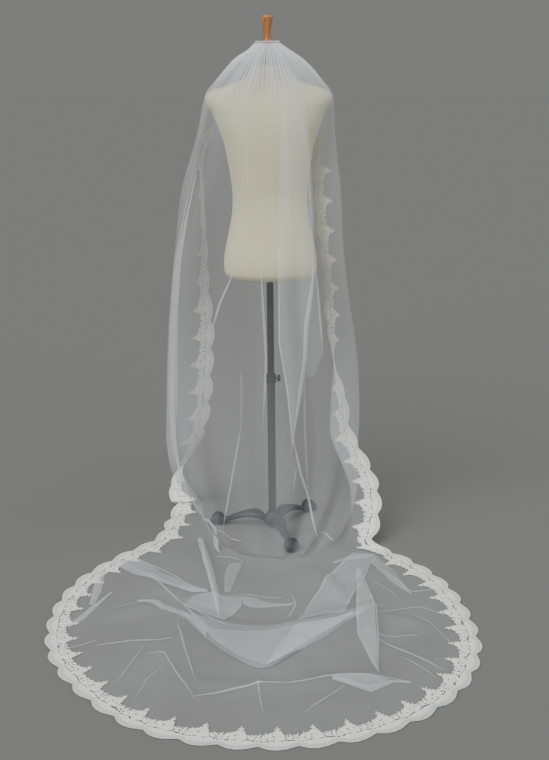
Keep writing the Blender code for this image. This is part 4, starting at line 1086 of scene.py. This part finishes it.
knob = thumb_knob()
for piece, node, slot in ((pole, "stand_pole", "black_tube"), (tube, "stand_tube", "black_tube"),
                          (collar, "stand_clamp", "black_tube"), (hub, "stand_hub", "cast_iron"),
                          (knob, "stand_knob", "black_tube")):
    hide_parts(node)

LEG_COLUMNS = ("out", "top", "low", "half_width")
LEG = (
    (.0306, .050, .024, .0125), (.055, .060, .036, .0250), (.080, .058, .036, .0230), (.110, .050, .030, .0165),
    (.140, .038, .020, .0120), (.160, .029, .011, .0100), (.172, .030, .003, .0150), (.184, .038, .000, .0225),
    (.200, .040, .000, .0250), (.214, .032, .000, .0215), (.222, .018, .004, .0130),
)
LEG_TURN = 18.3
leg_table = as_columns(LEG, LEG_COLUMNS)


def cast_leg(name, degrees):
    """One cast leg with raised ribs on its web and a scroll on its round foot."""
    a = math.radians(degrees)
    out = np.array([math.sin(a), -math.cos(a), 0.0])
    over = np.array([math.cos(a), math.sin(a), 0.0])
    up = np.array([0.0, 0.0, 1.0])
    rows = []
    reaches = np.linspace(LEG[0][0], LEG[-1][0], 90)
    for reach in reaches:
        top, low, half = (float(smooth_through(leg_table["out"], leg_table[k], reach)) for k in LEG_COLUMNS[1:])
        row = []
        for k in range(49):
            turn = 2 * math.pi * k / 48
            c, s = math.cos(turn), math.sin(turn)
            side = math.copysign(abs(c)**0.75, c)
            rise = math.copysign(abs(s)**0.85, s)
            rib = 0.0022 * math.exp(-((abs(side) - 0.72) / 0.12)**2) * (s > 0) * float(ease((0.165 - reach) / 0.02))
            bead = 0.0018 * (0.5 + 0.5 * math.cos(reach * 520)) * math.exp(-(side / 0.3)**2) * (s > 0) * (reach < 0.15)
            scroll = 0.0
            if reach > 0.172 and s > 0:
                dx, dy = reach - 0.199, side * half
                around = math.hypot(dx, dy)
                spiral = around / 0.0062 + math.atan2(dy, dx) / (2 * math.pi)
                scroll = 0.0022 * math.cos(2 * math.pi * spiral) * float(ease((0.024 - around) / 0.006))
            z = (top + low) / 2 + (top - low) / 2 * rise
            row.append(out * reach + over * half * side + up * max(z + rib + bead + scroll, 0.0))
        rows.append(row)
    for at, first in ((-1, False), (0, True)):
        ring = np.array(rows[at])
        for share in (0.8, 0.0):
            rows.insert(0, list((ring - ring.mean(axis=0)) * share + ring.mean(axis=0))) if first else \
                rows.append(list((ring - ring.mean(axis=0)) * share + ring.mean(axis=0)))
    return new_sheet(name, np.array(rows), iron, close_seam=True, angle=50)


for number, turn in enumerate((LEG_TURN, LEG_TURN + 120, LEG_TURN - 120), 1):
    leg = cast_leg(f"cast_leg_{number}", turn)
    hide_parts(f"stand_leg_{number}")

# The floor, light and camera

SURROUND = 0.208
FLOOR_ALBEDO = 0.20


def studio():
    """A plain pale floor, soft light and a pale surround."""
    bm = bmesh.new()
    bmesh.ops.create_grid(bm, x_segments=1, y_segments=1, size=60.0)
    mesh = bpy.data.meshes.new("studio_floor")
    bm.to_mesh(mesh)
    bm.free()
    floor = bpy.data.objects.new("studio_floor", mesh)
    floor.location = (0, 0, -0.0006)
    bpy.context.collection.objects.link(floor)
    pale, tree, shader = shader_of("pale_floor", 0.95)
    shader.inputs["Base Color"].default_value = (FLOOR_ALBEDO, FLOOR_ALBEDO * 1.015, FLOOR_ALBEDO * 0.985, 1)
    shader.inputs["Specular IOR Level"].default_value = 0.0
    mesh.materials.append(pale)
    world = bpy.data.worlds.new("soft_surround")
    world.use_nodes = True
    world.node_tree.nodes["Background"].inputs["Color"].default_value = (SURROUND, SURROUND * 1.015, SURROUND * 0.985, 1)
    bpy.context.scene.world = world
    for name, place, power, spread in (("key_light", (-2.4, -3.2, 3.4), 2.9, 50), ("fill_light", (3.2, -1.6, 2.6), 1.2, 70)):
        data = bpy.data.lights.new(name, "SUN")
        data.energy = power
        data.angle = math.radians(spread)
        lamp = bpy.data.objects.new(name, data)
        lamp.location = place
        lamp.rotation_euler = (-Vector(place)).to_track_quat("-Z", "Y").to_euler()
        bpy.context.collection.objects.link(lamp)


def camera():
    """The photograph's view: from the train's side, a little above, level with the shoulders."""
    data = bpy.data.cameras.new("view")
    data.sensor_width = 36.0
    data.lens = 51.44
    made = bpy.data.objects.new("view", data)
    turn = Matrix.Rotation(math.radians(73.7), 4, "X") @ Matrix.Rotation(math.radians(-0.573), 4, "Z")
    made.matrix_world = Matrix.Translation((POLE[0] + 0.0117, POLE[1] - 3.5, 1.56)) @ turn
    bpy.context.collection.objects.link(made)
    bpy.context.scene.camera = made


studio()
camera()
bpy.context.scene.cycles.transparent_max_bounces = 48
